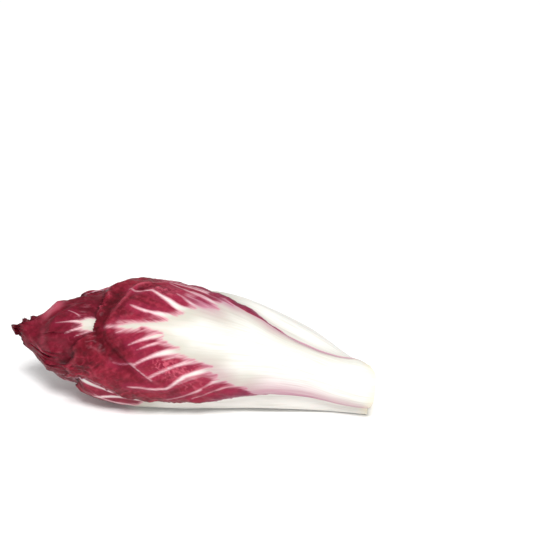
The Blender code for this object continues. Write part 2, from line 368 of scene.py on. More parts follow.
@dataclass(frozen=True)
class Vein:
    """One pale vein: its (x, angle) path from the rib outwards and its half widths at the root and the tip.

    slope is how fast the tissue turns red beside it.
    """

    path: Points
    root: float
    tip: float = 0.15
    slope: float = 0.75

    # How fast a vein gets thin, and the last share of its way, in which it comes to a point
    thinning = 1.8
    point = 0.12

    def fine_path(self, steps: int = 10) -> Array:
        """Smooth the path.

        Args:
            steps: How many pieces the smooth path has.

        Returns:
            Rows of x, angle and share of the way, at even steps.
        """
        path = np.array(self.path, dtype=float)
        chord = np.concatenate([[0], np.cumsum(np.hypot(*np.diff(path, axis=0).T))])
        chord /= chord[-1]
        share = np.linspace(0, 1, steps + 1)
        columns = [Profile(*zip(chord, path[:, n]))(share) for n in range(2)]
        return np.stack([*columns, share], axis=1)

    def half_width(self, share: Array) -> Array:
        """Half width at a share of the way from the root to the tip."""
        taper = self.tip + (self.root - self.tip) * (1 - share) ** self.thinning
        return taper * np.sqrt(np.clip((1 - share) / self.point, 0, 1))


def away_from_line(x: Array, angle: Array, line: Array) -> tuple[Array, Array]:
    """Distance from points to a line of (x, angle) points.

    Args:
        x: Stations of the points.
        angle: Angles of the points.
        line: Rows of x, angle and, where it has one, a value that runs along the line.

    Returns:
        The distance of each point, and the value at the place on the line nearest to it.
    """
    nearest = np.full(x.shape, np.inf)
    value = np.zeros(x.shape)
    scale = HEAD.arc(x, 1.0)
    run = line[:, 0][:, None] - x
    side = (line[:, 1][:, None] - angle) * scale
    for n in range(len(line) - 1):
        along, across = run[n + 1] - run[n], side[n + 1] - side[n]
        length = along * along + across * across + 1e-9
        share = np.clip(-(run[n] * along + side[n] * across) / length, 0, 1)
        gone = np.hypot(run[n] + share * along, side[n] + share * across)
        here = gone < nearest
        nearest = np.where(here, gone, nearest)
        if line.shape[1] > 2:
            value = np.where(here, line[n, 2] + share * (line[n + 1, 2] - line[n, 2]), value)
    return nearest, value


@dataclass(frozen=True)
class PaleTissue:
    """The pale part of a leaf: a broad rib between an upper and a lower line, and the veins that leave it.

    flames are red tongues that run from the blade into the rib.
    """

    upper: Points
    lower: Points
    veins: tuple[Vein, ...]
    flames: tuple[Vein, ...] = ()
    blend: float = 0.3

    def field(self, x: Array, angle: Array) -> tuple[Array, Array]:
        """How far inside the pale part, and inside its rib alone, points lie, less than 0 outside.

        Args:
            x: Stations of the points.
            angle: Angles of the points, within half a turn of the rib.

        Returns:
            Both signed distances in millimetres.
        """
        upper, lower = np.array(sorted(self.upper)), np.array(sorted(self.lower))
        away = np.minimum(
            away_from_line(x, angle, upper)[0], away_from_line(x, angle, lower)[0])
        inside = (angle < np.interp(x, *upper.T)) & (angle > np.interp(x, *lower.T))
        inside &= x > min(upper[0, 0], lower[0, 0])
        rib = np.where(inside, away, -away)
        total = rib / self.blend
        for sign, lines in ((1, self.veins), (-1, self.flames)):
            for line in lines:
                gone, share = away_from_line(x, angle, line.fine_path())
                reach = (line.half_width(share) - line.slope * gone) / self.blend
                total = sign * np.logaddexp(sign * total, reach)
        return total * self.blend, rib


@dataclass(frozen=True)
class VeinFan:
    """How the veins of a leaf are drawn, apart from the ones that are listed one by one.

    first and last are the stations where they leave the rib, nearest the base and nearest the tip, count is
    how many leave each side, and wide and narrow are their angles off the rib there. length, root and tip
    are the usual ranges of their length and half widths, and forks is the share of them that fork.
    """

    first: float
    last: float
    count: int
    wide: float = 36.0
    narrow: float = 16.0
    length: tuple[float, float] = (13.0, 25.0)
    root: tuple[float, float] = (0.7, 1.2)
    tip: tuple[float, float] = (0.08, 0.2)
    forks: float = 0.5

    # How far a vein turns on its way, a fork's angle off its vein, and its share of that vein's length and
    # of its widths
    most_bend = 8
    fork_angle = (12, 20)
    fork_share = 0.45
    fork_tip = 0.8

    def draw(self, middle: float, low: Profile, high: Profile,
             seed: int) -> tuple[Vein, ...]:
        """Draw the veins.

        Args:
            middle: Angle of the leaf's rib.
            low: Angle that the pale rib spans under its middle, by station.
            high: Angle that it spans over its middle, by station.
            seed: Seed of the random draw.

        Returns:
            The veins, each with its own path and widths.
        """
        rng = random.Random(seed)
        veins = []
        for side, reach in ((-1, low), (1, high)):
            for number in range(self.count):
                share = (number + rng.uniform(-0.3, 0.3)) / max(self.count - 1, 1)
                start = self.first + (self.last - self.first) * share
                across = max(float(HEAD.arc(start, reach(start))) - 1.5, 0.2)
                lean = self.wide + (self.narrow - self.wide) * share + rng.uniform(-4, 4)
                length, bend = rng.uniform(*self.length), rng.uniform(-self.most_bend, self.most_bend)
                path = self.path(middle, side, (start, across), lean, bend, length)
                root, tip = rng.uniform(*self.root), rng.uniform(*self.tip)
                veins.append(Vein(path, root, tip))
                if rng.random() < self.forks:
                    knot_x, knot_angle = path[2]
                    knot = (knot_x, side * float(HEAD.arc(knot_x, knot_angle - middle)))
                    off = rng.choice((-1, 1)) * rng.uniform(*self.fork_angle)
                    branch = self.path(middle, side, knot, lean + off, bend, length * self.fork_share)
                    veins.append(Vein(branch, root * self.fork_share, tip * self.fork_tip))
        return tuple(veins)

    @staticmethod
    def path(middle: float, side: int, start: tuple[float, float], lean: float, bend: float,
             length: float) -> Points:
        """Path of one vein.

        Args:
            middle: Angle of the leaf's rib.
            side: -1 for the side under the rib, 1 for the side over it.
            start: Station where the vein starts, and its distance from the rib's middle.
            lean: Its angle off the rib there.
            bend: How much that angle grows up to its end.
            length: Its length.

        Returns:
            Its points as (x, angle).
        """
        points = []
        for share in np.linspace(0, 1, 6):
            heading = math.radians(lean + bend * share)
            x = start[0] - length * share * math.cos(heading)
            across = start[1] + length * share * math.sin(heading)
            points.append((x, middle + side * float(HEAD.angle_of(x, across))))
        return tuple(points)


def even_rib(middle: float, low: Profile, high: Profile) -> tuple[Points, Points]:
    """Upper and lower lines of a pale rib, whose angles under and over its middle are given by station."""
    stations = np.linspace(low.places[0], low.places[-1], 40)
    return tuple(zip(stations, middle + high(stations))), tuple(zip(stations, middle - low(stations)))


@dataclass
class Sheet:
    """What a leaf's grid is worked out to: points of both faces in metres, and values for the material.

    marks holds the values and vectors by the name of their attribute, and from_base the distances from the
    cut base.
    """

    outer: Array
    inner: Array
    marks: dict[str, Array]
    from_base: Array


@dataclass
class Leaf:
    """One leaf: its outline on the head, its thickness, its relief and the leaves that lie over it.

    base is the station where it starts, tip that of its end's middle and corners those of its end's sides.
    middle is the angle of its rib. low and high give the angles of its margins, rib and edge its thickness
    along the rib and the margins. cells are the faces across and along it, and ragged how far its end's
    notches go. end, where it is given, is the station of its end by angle, and bend how square the end is
    otherwise. rounded is how far its base's corners are cut back. red_low and red_high are the widths of the
    red along its margins, and mauve_low and mauve_high those of their soft tint, which blushes add to.
    swellings, crumples and fold are relief of its own, which also carry painted shade and painted highlight,
    and lift is how far its end stands off, by the place across it. over holds the leaves that lie over it.
    """

    name: str
    node: str
    slot: Slot
    base: float
    tip: float
    corners: tuple[float, float]
    middle: float
    low: Profile
    high: Profile
    rib: Profile
    edge: Profile
    cells: tuple[int, int]
    ragged: float
    seed: int
    tissue: PaleTissue
    end: Profile | None = None
    red_low: Profile = Profile((-75, 0.0), (75, 0.0))
    red_high: Profile = Profile((-75, 0.0), (75, 0.0))
    mauve_low: Profile = Profile((-75, 0.5), (75, 0.5))
    mauve_high: Profile = Profile((-75, 0.5), (75, 0.5))
    blushes: tuple[Swelling, ...] = ()
    swellings: tuple[Swelling, ...] = ()
    crumples: tuple[Crumple, ...] = ()
    rounded: tuple[float, float] = (0.0, 0.0)
    bend: float = 2.5
    fold: CrossFold | None = None
    lift: Profile = Profile((-1, 0.3), (0, 0.3), (1, 0.3))
    over: list["Leaf"] = field(default_factory=list)

    # How many notches the ends have, and how a leaf rises from under the edge of the leaf over it
    notches = 41
    cover_clear = 2.4
    cover_ramp = 10.0
    full_girth = 17.0
    least_scale = 0.25
    # Margins: their own thickness, and how far in from the edge a leaf gets its full thickness
    margin_thickness = 0.35
    margin_reach = 3.2
    # What is left of the gap under a margin and at the cut base, and how low an inner face may come
    hug = 0.2
    base_gap = 0.1
    lowest_inner = 0.15
    # How far in from the end a leaf lifts off, and how much of its relief the leaves over it press flat
    lift_reach = 5.0
    pressed_flat = 0.92
    # How sharply the red of a margin starts, and how fast the mauve tint fades
    red_slope = 1.4
    mauve_fade = 1.3
    # Relief heights: veins, puckers of the blade, fine puckers, waves of the margins and how far in they
    # reach, flutes of the rib
    vein_height = 0.2
    pucker_height = 0.15
    dimple_height = 0.05
    wave_height = 0.22
    wave_reach = 7.0
    flute_height = 0.025
    fray = 0.3
    # Painted shadow right beside the edge of a leaf that lies over this one: how dark it is, how far that
    # reaches, and how much of it is missing where the leaf is pale
    edge_shade = 0.9
    edge_reach = 1.2
    pale_glow = 0.75
    # Half width of the pattern's flat plane, how far the streaks of the blade turn off the rib, and how far
    # apart the patterns of the rib's two sides lie
    half_across = 22.0
    ray_angle = math.radians(24)
    sides_apart = 40.0

    def __post_init__(self) -> None:
        """Draw the notches of the end and the relief of the blade."""
        rng = random.Random(self.seed)
        self.notch = [rng.uniform(-1, 1) for _ in range(self.notches)]
        self.tooth = [rng.uniform(-1, 1) for _ in range(4 * self.notches)]
        self.puckers = Ripple(7.5, self.seed + 1, stretch=1.5)
        self.dimples = Ripple(2.4, self.seed + 2, stretch=1.3)
        self.waves = Ripple(9.0, self.seed + 3)
        self.flutes = Ripple(3.4, self.seed + 4, stretch=14.0)
        self.crumbs = Ripple(1.9, self.seed + 5)

    def set_back(self, u: Array) -> Array:
        """How far the end's corner lies back from its middle, on the side that u is on."""
        return np.where(u < 0, self.corners[0], self.corners[1]) - self.tip

    def end_x(self, u: Array) -> Array:
        """Where the leaf's ragged far end lies.

        Args:
            u: Places from -1 to 1 across the leaf.

        Returns:
            The station of the end at each place.
        """
        ripple = np.interp(u, np.linspace(-1, 1, self.notches), self.notch)
        teeth = np.interp(u, np.linspace(-1, 1, 4 * self.notches), self.tooth)
        if self.end is not None:
            rough = 0.45 * ripple + 0.4 * teeth
            return self.end(self.angle(np.full_like(u, self.tip), u)) + self.ragged * rough
        return self.tip + self.set_back(u) * np.abs(u) ** self.bend + self.ragged * (ripple + 0.35 * teeth)

    def half_width(self, x: Array, u: Array | float) -> Array:
        """Angle from the leaf's middle line to its margin, on the side that u is on."""
        return np.where(u < 0, self.middle - self.low(x), self.high(x) - self.middle)

    def angle(self, x: Array, u: Array) -> Array:
        """Angle round the head of a place u across the leaf."""
        return self.middle + u * self.half_width(x, u)

    def across_at(self, x: Array, angle: Array) -> Array:
        """Place across the leaf, -1 to 1 inside its margins, of a point on the head."""
        off = turn(angle - self.middle)
        return off / self.half_width(x, off)

    def thickness(self, x: Array, u: Array) -> Array:
        """Thickness at a place on the leaf: a thick rib and thin margins."""
        inside = np.clip(np.abs(u), 0, 1)
        return (self.edge(x) + (self.rib(x) - self.edge(x)) * (1 - inside ** 2)) * HEAD.lean(x)

    def from_end(self, x: Array, u: Array) -> Array:
        """Distance square to the far end's line.

        Args:
            x: Stations of the points.
            u: Their places across the leaf.

        Returns:
            The distances, less than 0 past the end.
        """
        near = np.clip(u, -1, 1)
        reach = HEAD.arc(x, self.half_width(x, u))
        if self.end is not None:
            tip = np.full_like(near, self.tip)
            slope = (self.end(self.angle(tip, near + 0.02)) - self.end(self.angle(tip, near - 0.02))) / 0.04
        else:
            slope = self.bend * self.set_back(u) * np.abs(near) ** (self.bend - 1)
        return (x - self.end_x(near)) / np.sqrt(1 + (slope / reach) ** 2)

    def inside(self, x: Array, angle: Array) -> Array:
        """How far inside the leaf's outline points lie.

        Args:
            x: Stations of the points.
            angle: Angles of the points.

        Returns:
            The distances from the outline, less than 0 outside it.
        """
        u = self.across_at(x, angle)
        side = (1 - np.abs(u)) * HEAD.arc(x, self.half_width(x, u))
        return np.minimum(np.minimum(side, self.from_end(x, u)), self.base - x)

    def cover(self, x: Array, angle: Array) -> Array:
        """How much of this leaf lies over points.

        Args:
            x: Stations of the points.
            angle: Angles of the points.

        Returns:
            1 where it lies over them, easing to 0 past its outline.
        """
        inside = self.inside(x, angle)
        scale = np.clip(HEAD.girth(x) / self.full_girth, self.least_scale, 1)
        ramp = self.cover_ramp - self.cover_clear
        return smooth_step(1 + (inside / scale + self.cover_clear) / ramp)

    def sheet(self, grid: Array) -> Sheet:
        """Work out both faces and the material's values.

        Args:
            grid: Rows of places from -1 to 1 across and along the leaf.

        Returns:
            The sheet, with one row or value for each row of the grid.
        """
        u, v = grid[:, 0], (grid[:, 1] + 1) / 2
        # The faces are narrower towards the margins and shorter towards the end
        u = u * (1.2 - 0.2 * u * u)
        v = v * (1 + 0.25 * (1 - v))
        start = self.base - np.where(u < 0, *self.rounded) * np.abs(u) ** 3
        x = start + (self.end_x(u) - start) * v
        reach = HEAD.arc(x, self.half_width(x, u))
        frays = self.fray * self.crumbs(x, 9 * np.sign(u)) * smooth_step((40 - x) / 60)
        angle = self.angle(x, u + np.sign(u) * np.abs(u) ** 9 * frays / reach)
        low_side = (1 + u) * HEAD.arc(x, self.half_width(x, -1))
        high_side = (1 - u) * HEAD.arc(x, self.half_width(x, 1))
        side = np.minimum(low_side, high_side)
        end = np.maximum(self.from_end(x, u), 0)
        margin = np.minimum(side, end)

        pale, rib = self.tissue.field(x, angle)
        pale = np.minimum(pale, self.red_slope * (low_side - self.red_low(x)))
        pale = np.minimum(pale, self.red_slope * (high_side - self.red_high(x)))
        mauve = np.maximum(1 - low_side / self.mauve_low(x), 1 - high_side / self.mauve_high(x))
        mauve = np.maximum(mauve, 0) ** self.mauve_fade
        for blush in self.blushes:
            mauve = np.maximum(mauve, blush.painted_light_and_tint * blush.share(x, angle))

        covered = np.zeros_like(x)
        # Painted shadow on this leaf right beside the edge of each leaf over it
        shade = np.zeros_like(x)
        for leaf in self.over:
            covered = np.maximum(covered, leaf.cover(x, angle))
            outside = np.maximum(-leaf.inside(x, angle), 0)
            shade = np.maximum(shade, self.edge_shade * np.exp(-(outside / self.edge_reach) ** 1.5))
        under = depth_under(self.over, x, angle)
        if self.fold is not None:
            under = under + self.fold.depth(x, angle)
        relief, painted_shading = self.relief(x, angle, u, pale, margin)
        relief = relief * (1 - self.pressed_flat * covered)
        # Less painted shadow on pale tissue, then the painted shadow is laid over the painted shade and
        # highlight of the relief
        shade = shade * (1 - self.pale_glow * smooth_step(pale + 0.4))
        painted_shading = np.clip(painted_shading, -1, 1) * (1 - shade) + shade

        # A margin is thin and comes down close to the leaf below, and the end lifts off it again
        full = self.thickness(x, u)
        inside = smooth_step(margin / self.margin_reach)
        lean = HEAD.lean(x)
        thick = (self.margin_thickness + (full / lean - self.margin_thickness) * inside) * lean
        room = full + (HEAD.gap(x) - self.hug) * lean
        sunk = (room - thick) * (1 - inside)
        rise = self.lift(u) * (1 - smooth_step(end / self.lift_reach)) * (1 - covered)
        top = under + sunk - rise - relief
        fill = (HEAD.gap(x) - self.base_gap) * smooth_step((x - 58) / 13)
        # Where the outer face is pressed in near the base, the inner face stays against the core
        fill = fill + np.minimum(relief, 0) * smooth_step((x - 50) / 8)
        outer = HEAD.place(x, angle, top)
        inner = HEAD.place(x, angle, top + thick + fill)
        outer[:, 2] = np.maximum(outer[:, 2], 0.0)
        inner[:, 2] = np.maximum(inner[:, 2], self.lowest_inner * MM)
        run = np.stack([start - x, u * self.half_across, np.zeros_like(x)], axis=-1)
        across = HEAD.arc(x, angle - self.middle)
        wide, c, s = np.abs(across), math.cos(self.ray_angle), math.sin(self.ray_angle)
        fan = np.stack([wide * s - x * c, wide * c + x * s, np.sign(across) * self.sides_apart], axis=-1)
        mauve = np.clip(mauve, 0, 1)
        marks = {"pale": pale, "rib": rib, "margin": margin, "mauve": mauve, "painted_shading": painted_shading}
        marks = {label: np.clip(values, *MARK_RANGE) for label, values in marks.items()}
        return Sheet(outer, inner, marks | {"run": run, "fan": fan}, start - x)

    def relief(self, x: Array, angle: Array, u: Array, pale: Array, margin: Array) -> tuple[Array, Array]:
        """Relief of the leaf's surface.

        Args:
            x: Stations of the points.
            angle: Their angles.
            u: Their places across the leaf.
            pale: How far inside the pale part they lie.
            margin: Their distance from the leaf's edge.

        Returns:
            The height over the plain surface, and the painted shade at each point, which is less than 0 where
            a painted highlight makes it lighter.
        """
        along, across = x, HEAD.arc(x, angle - self.middle)
        red = 1 - smooth_step((pale + 0.8) / 1.2)
        height = self.vein_height * smooth_step((pale + 0.35) / 0.9)
        height += red * self.pucker_height * self.puckers(along, across)
        height += red * self.dimple_height * self.dimples(along, across)
        at_edge = 1 - smooth_step(margin / self.wave_reach)
        loose = (0.25 + 0.75 * red) * smooth_step((30 - x) / 30)
        height += loose * at_edge * self.wave_height * self.waves(along, across)
        height += (1 - red) * self.flute_height * self.flutes(along, u * self.half_across)
        # Painted shade and painted highlight from the fold, the swellings and the crinkles
        painted_shading = np.zeros_like(x) if self.fold is None else self.fold.shade(x, angle)
        # Each swelling's relief, and its painted shade, which is a painted highlight where its value is below
        # 0
        for swelling in self.swellings:
            share = swelling.share(x, angle)
            height += swelling.height * share
            painted_shading += swelling.painted_light_and_tint * share
        for crumple in self.crumples:
            share = crumple.patch.share(x, angle)
            crest = np.exp(-1.5 * crumple.relief(along, across) ** 2)
            height += crumple.patch.height * share * crest
            # Painted highlight on the crests of the crinkles
            painted_shading -= crumple.patch.painted_light_and_tint * share * smooth_step((crest - 0.45) / 0.55)
        return height, painted_shading

    def build(self) -> bpy.types.Object:
        """Make the leaf as one closed shell from a grid sheet and its copy further in.

        Returns:
            The finished object.
        """
        bm = bmesh.new()
        across, along = self.cells
        bmesh.ops.create_grid(bm, x_segments=across, y_segments=along, size=1.0)
        sheet = self.sheet(np.array([vert.co.xy for vert in bm.verts]))
        number = bm.verts.layers.int.new("number")
        for n, vert in enumerate(bm.verts):
            vert[number] = n
            vert.co = sheet.outer[n]
        shell = bmesh.ops.extrude_face_region(bm, geom=bm.faces[:], use_keep_orig=True)
        for item in shell["geom"]:
            if isinstance(item, bmesh.types.BMVert):
                item.co = sheet.inner[item[number]]
        for face in bm.faces:
            if all(sheet.from_base[vert[number]] < 0.01 for vert in face.verts):
                face.material_index = 1
        bmesh.ops.recalc_face_normals(bm, faces=bm.faces[:])
        numbers = np.array([vert[number] for vert in bm.verts])
        bm.verts.layers.int.remove(number)
        obj = new_object(self.name, bm)
        store(obj.data, {label: values[numbers] for label, values in sheet.marks.items()})
        return obj


def depth_under(leaves: Sequence[Leaf], x: Array, angle: Array) -> Array:
    """How far under the head's surface a face lies that has leaves over it.

    Args:
        leaves: The leaves over it.
        x: Stations of the points.
        angle: Angles of the points.

    Returns:
        The depth at each point.
    """
    total = np.zeros_like(x)
    for leaf in leaves:
        cover = leaf.cover(x, angle)
        thick = leaf.thickness(x, leaf.across_at(x, angle))
        total += cover * (thick + HEAD.gap(x) * HEAD.lean(x))
        if leaf.fold is not None:
            total += cover * leaf.fold.depth(x, angle)
    return total


def linked(name: str, data: bpy.types.ID) -> bpy.types.Object:
    """Add an object to the scene.

    Args:
        name: Name of the object.
        data: Its mesh, light or camera.

    Returns:
        The new object.
    """
    obj = bpy.data.objects.new(name, data)
    bpy.context.scene.collection.objects.link(obj)
    return obj


def new_object(name: str, bm: bmesh.types.BMesh) -> bpy.types.Object:
    """Turn a bmesh into a smooth object of the scene.

    Args:
        name: Name of the object and its mesh.
        bm: The mesh, which is freed.

    Returns:
        The new object.
    """
    mesh = bpy.data.meshes.new(name)
    bm.to_mesh(mesh)
    bm.free()
    mesh.shade_smooth()
    mesh.set_sharp_from_angle(angle=SHARP_ANGLE)
    return linked(name, mesh)


def store(mesh: bpy.types.Mesh, marks: dict[str, Array]) -> None:
    """Keep a value or a vector for each vertex of a mesh in each named attribute.

    Args:
        mesh: The mesh.
        marks: The values or the rows of vectors, by the attribute's name.
    """
    for label, values in marks.items():
        kind, part = ("FLOAT_VECTOR", "vector") if values.ndim > 1 else ("FLOAT", "value")
        attribute = mesh.attributes.new(label, kind, "POINT")
        attribute.data.foreach_set(part, values.astype(np.float32).ravel())


def present(obj: bpy.types.Object, node: str, materials: Sequence[bpy.types.Material]) -> None:
    """Dress an object, set it in the frame and report it.

    Args:
        obj: The object.
        node: The frame's node that it stands for.
        materials: Its materials, the one of the skin first and that of the cut face second.
    """
    for material in materials:
        obj.data.materials.append(material)
    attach(obj, BODY)
    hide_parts(node)
    log.info("%s stands for %s with %d faces", obj.name, node, len(obj.data.polygons))


@dataclass
class Bud:
    """A solid that fills the room inside the leaves: the closed heart, or the stem core.

    outline gives its largest radius by station from the base end to the tip end, and snug is the share of
    the room that it fills. folds, fold and twist are the number, the depth and the twist of its lengthwise
    folds, which tip_fold deepens within tip_reach of the tip. cells are its faces round and along, and
    crowding is how much closer together they lie at the tip.
    """

    name: str
    node: str
    slot: Slot
    outline: Points
    cells: tuple[int, int]
    snug: float = 0.965
    folds: int = 5
    fold: float = 0.04
    twist: float = 3.0
    tip_fold: float = 0.0
    tip_reach: float = 9.0
    crowding: float = 1.5

    def build(self, leaves: Sequence[Leaf]) -> bpy.types.Object:
        """Make the solid.

        Args:
            leaves: All the leaves that lie over it.

        Returns:
            The finished object.
        """
        base, tip = self.outline[0][0], self.outline[-1][0]
        limit = Profile(*self.outline)
        sides, rows = self.cells
        bm = bmesh.new()
        bmesh.ops.create_cone(
            bm, cap_ends=True, cap_tris=True, segments=sides, radius1=1.0, radius2=1.0, depth=2.0)
        rails = [edge for edge in bm.edges if abs(edge.verts[0].co.z - edge.verts[1].co.z) > 1]
        bmesh.ops.subdivide_edges(bm, edges=rails, cuts=rows - 1, use_grid_fill=True)
        bar = np.array([vert.co for vert in bm.verts])
        x = tip + (base - tip) * ((1 - bar[:, 2]) / 2) ** self.crowding
        angle = np.degrees(np.arctan2(bar[:, 1], bar[:, 0]))
        surface = HEAD.radius(x, angle)
        room = surface - depth_under(leaves, x, angle)
        wave = 1 + np.cos(np.radians(self.folds * angle + self.twist * x))
        near_tip = smooth_step((tip + self.tip_reach - x) / self.tip_reach)
        reach = np.minimum(room * (self.snug - self.fold * wave), limit(x))
        reach *= 1 - self.tip_fold * near_tip * wave / 2
        reach[np.hypot(bar[:, 0], bar[:, 1]) < 0.5] = 0.0
        points = HEAD.place(x, angle, surface - reach)
        for vert, point in zip(bm.verts, points):
            vert.co = point
        for face in bm.faces:
            if all(vert.co.x > (base - 0.01) * MM for vert in face.verts):
                face.material_index = 1
        bmesh.ops.recalc_face_normals(bm, faces=bm.faces[:])
        obj = new_object(self.name, bm)
        pale = -3.0 + 9.0 * smooth_step((x + 20) / 50)
        none = np.zeros_like(x)
        flat = np.stack([base - x, angle / 8, none], axis=-1)
        store(obj.data, {"pale": pale, "rib": pale, "margin": np.clip((x - tip) / 3, 0, 8), "mauve": none,
                         "painted_shading": none, "run": flat, "fan": flat})
        return obj


class Graph:
    """A node tree that is filled in by short calls."""

    def __init__(self, tree: bpy.types.NodeTree) -> None:
        """Start on a tree."""
        self.tree = tree

    def feed(self, sockets: Sequence[Socket], given: Inputs) -> None:
        """Set sockets.

        Args:
            sockets: The inputs of a node.
            given: A value by the name or number of each input: another socket is linked to it.
        """
        for label, value in given.items():
            if isinstance(value, bpy.types.NodeSocket):
                self.tree.links.new(value, sockets[label])
            else:
                sockets[label].default_value = value

    def node(self, kind: str, given: Inputs, **settings: object) -> Sequence[Socket]:
        """Add a node.

        Args:
            kind: Its type.
            given: A value by the name or number of each input that is set.
            **settings: Its own settings.

        Returns:
            Its outputs.
        """
        made = self.tree.nodes.new(kind)
        for label, value in settings.items():
            setattr(made, label, value)
        self.feed(made.inputs, given)
        return made.outputs

    def math(self, operation: str, first: Socket | float, second: Socket | float) -> Socket:
        """Result of a Math node."""
        return self.node("ShaderNodeMath", {0: first, 1: second}, operation=operation)[0]

    def times(self, first: Socket, second: Socket | float) -> Socket:
        """Product of two values."""
        return self.math("MULTIPLY", first, second)

    def total(self, *parts: tuple[Socket, float | Socket]) -> Socket:
        """Sum of values, each times its share.

        Args:
            *parts: Each value with its share.

        Returns:
            The sum.
        """
        first, *rest = [self.times(*part) for part in parts]
        for part in rest:
            first = self.math("ADD", first, part)
        return first

    def ease(self, value: Socket, low: float, high: float, start: float = 0.0, end: float = 1.0) -> Socket:
        """Ease from start to end as the value goes from low to high."""
        given = {"Value": value, "From Min": low, "From Max": high, "To Min": start, "To Max": end}
        return self.node("ShaderNodeMapRange", given, interpolation_type="SMOOTHSTEP")["Result"]

    def mix(self, share: Socket | float, first: Socket | Color, second: Socket | Color,
            how: str = "MIX") -> Socket:
        """Mix of two colours."""
        given = {"Factor": share, 6: first, 7: second}
        return self.node("ShaderNodeMix", given, data_type="RGBA", blend_type=how)[2]

    def shifted(self, value: Socket, noise: Socket, amount: float) -> Socket:
        """A value moved up and down by a noise, half the amount each way."""
        return self.math("ADD", value, self.times(self.math("SUBTRACT", noise, 0.5), amount))

    def noise(self, vector: Socket, scale: float, detail: float = 3.0, distortion: float = 0.0) -> Socket:
        """Value of a Noise Texture, from 0 to 1."""
        given = {"Vector": vector, "Scale": scale, "Detail": detail, "Distortion": distortion}
        return self.node("ShaderNodeTexNoise", given)["Fac"]

    def drawn_out(self, vector: Socket, along: float, across: float, detail: float = 3.0,
                  distortion: float = 0.0) -> Socket:
        """Value of a Noise Texture that is drawn out along a leaf.

        Args:
            vector: Where the noise is read.
            along: Its scale along the leaf.
            across: Its scale across the leaf.
            detail: Its detail.
            distortion: Its distortion.

        Returns:
            The value, from 0 to 1.
        """
        given = {"Vector": vector, "Scale": (along, across, 1.0)}
        scaled = self.node("ShaderNodeMapping", given, vector_type="POINT")["Vector"]
        return self.noise(scaled, 1.0, detail, distortion)

    def bump(self, strength: float, distance: float, height: Socket) -> Socket:
        """Normal that a height gives the surface."""
        given = {"Strength": strength, "Distance": distance, "Height": height}
        return self.node("ShaderNodeBump", given)["Normal"]


def new_material(name: str) -> tuple[bpy.types.Material, Graph, Sequence[Socket]]:
    """Start a material.

    Args:
        name: Name of the material.

    Returns:
        The material, its node tree and the inputs of its shader.
    """
    made = bpy.data.materials.new(name)
    made.use_nodes = True
    return made, Graph(made.node_tree), made.node_tree.nodes["Principled BSDF"].inputs


# What the leaves' node group takes in: attributes that are values and vectors, numbers and colours
MARKS = ("Pale", "Rib", "Margin", "Mauve", "Painted_shading")
PLANES = ("Run", "Fan")
GLOSS_INPUTS = ("Red Roughness", "Pale Roughness")
COLOR_INPUTS = ("Deep", "Bright", "Border", "Lit", "Purple", "Pink", "Cream", "Shaded Cream", "Mauve Tint",
                "Base Tint", "Rim", "Pale Rim", "Shade")


@dataclass(frozen=True)
class LeafFinish:
    """Colours and gloss of a round of leaves."""

    name: str
    deep: Color
    bright: Color
    border: Color
    # Colour of the painted highlight on ridges, crests and glints
    lit: Color
    rim: Color
    purple: Color = paint(136, 58, 90)
    pink: Color = paint(212, 146, 162)
    cream: Color = paint(222, 221, 215)
    shaded_cream: Color = paint(180, 177, 164)
    mauve_tint: Color = paint(178, 112, 142)
    base_tint: Color = paint(219, 213, 188)
    pale_rim: Color = paint(190, 154, 166)
    # Multiplier of the painted shade in creases, dips and beside the edges of leaves that lie over others
    shade: Color = (0.46, 0.2, 0.3, 1.0)
    red_roughness: float = 0.42
    pale_roughness: float = 0.38
    specular: float = 0.18
    gloss_tint: Color = (1.0, 0.6, 0.68, 1.0)
    softness: float = 0.1
    soft_radius: tuple[float, float, float] = (0.0022, 0.0011, 0.0009)
    bump: float = 0.3
    bump_height: float = 0.0002

    def material(self, tissue: bpy.types.NodeTree) -> bpy.types.Material:
        """Make the material.

        Args:
            tissue: The node group that turns a leaf's attributes into colour, gloss and relief.

        Returns:
            The new material.
        """
        made, graph, shader = new_material(self.name)
        given = {}
        for label in GLOSS_INPUTS + COLOR_INPUTS:
            given[label] = getattr(self, label.lower().replace(" ", "_"))
        for labels, output in ((MARKS, "Fac"), (PLANES, "Vector")):
            for label in labels:
                given[label] = graph.node("ShaderNodeAttribute", {}, attribute_name=label.lower())[output]
        surface = graph.node("ShaderNodeGroup", given, node_tree=tissue)
        graph.feed(shader, {
            "Base Color": surface["Color"],
            "Roughness": surface["Roughness"],
            "Normal": graph.bump(self.bump, self.bump_height, surface["Height"]),
            "Specular IOR Level": self.specular,
            "Specular Tint": self.gloss_tint,
            "Subsurface Weight": self.softness,
            "Subsurface Radius": self.soft_radius,
            "Subsurface Scale": 1.0,
        })
        return made


@dataclass(frozen=True)
class CutFinish:
    """Colours of the sliced stem: a moist pale flesh with a darker ring and small dots of cut vessels."""

    name: str
    flesh: Color
    ring: Color
    dot: Color
    roughness: float = 0.5
    bump: float = 0.4
    bump_height: float = 0.0003

    def material(self) -> bpy.types.Material:
        """Make the material.

        Returns:
            The new material.
        """
        made, graph, shader = new_material(self.name)
        place = graph.node("ShaderNodeTexCoord", {})["Object"]
        flesh = graph.mix(graph.ease(graph.noise(place, 420.0), 0.42, 0.68), self.flesh, self.ring)
        cells = graph.node("ShaderNodeTexVoronoi", {"Vector": place, "Scale": 620.0}, feature="F1")
        dots = graph.ease(cells["Distance"], 0.16, 0.3, 0.75, 0.0)
        grain = graph.noise(place, 2600.0, 2.0)
        graph.feed(shader, {
            "Base Color": graph.mix(dots, flesh, self.dot),
            "Roughness": graph.ease(grain, 0.3, 0.7, self.roughness - 0.1, self.roughness + 0.1),
            "Normal": graph.bump(self.bump, self.bump_height, graph.math("SUBTRACT", grain, dots)),
        })
        return made


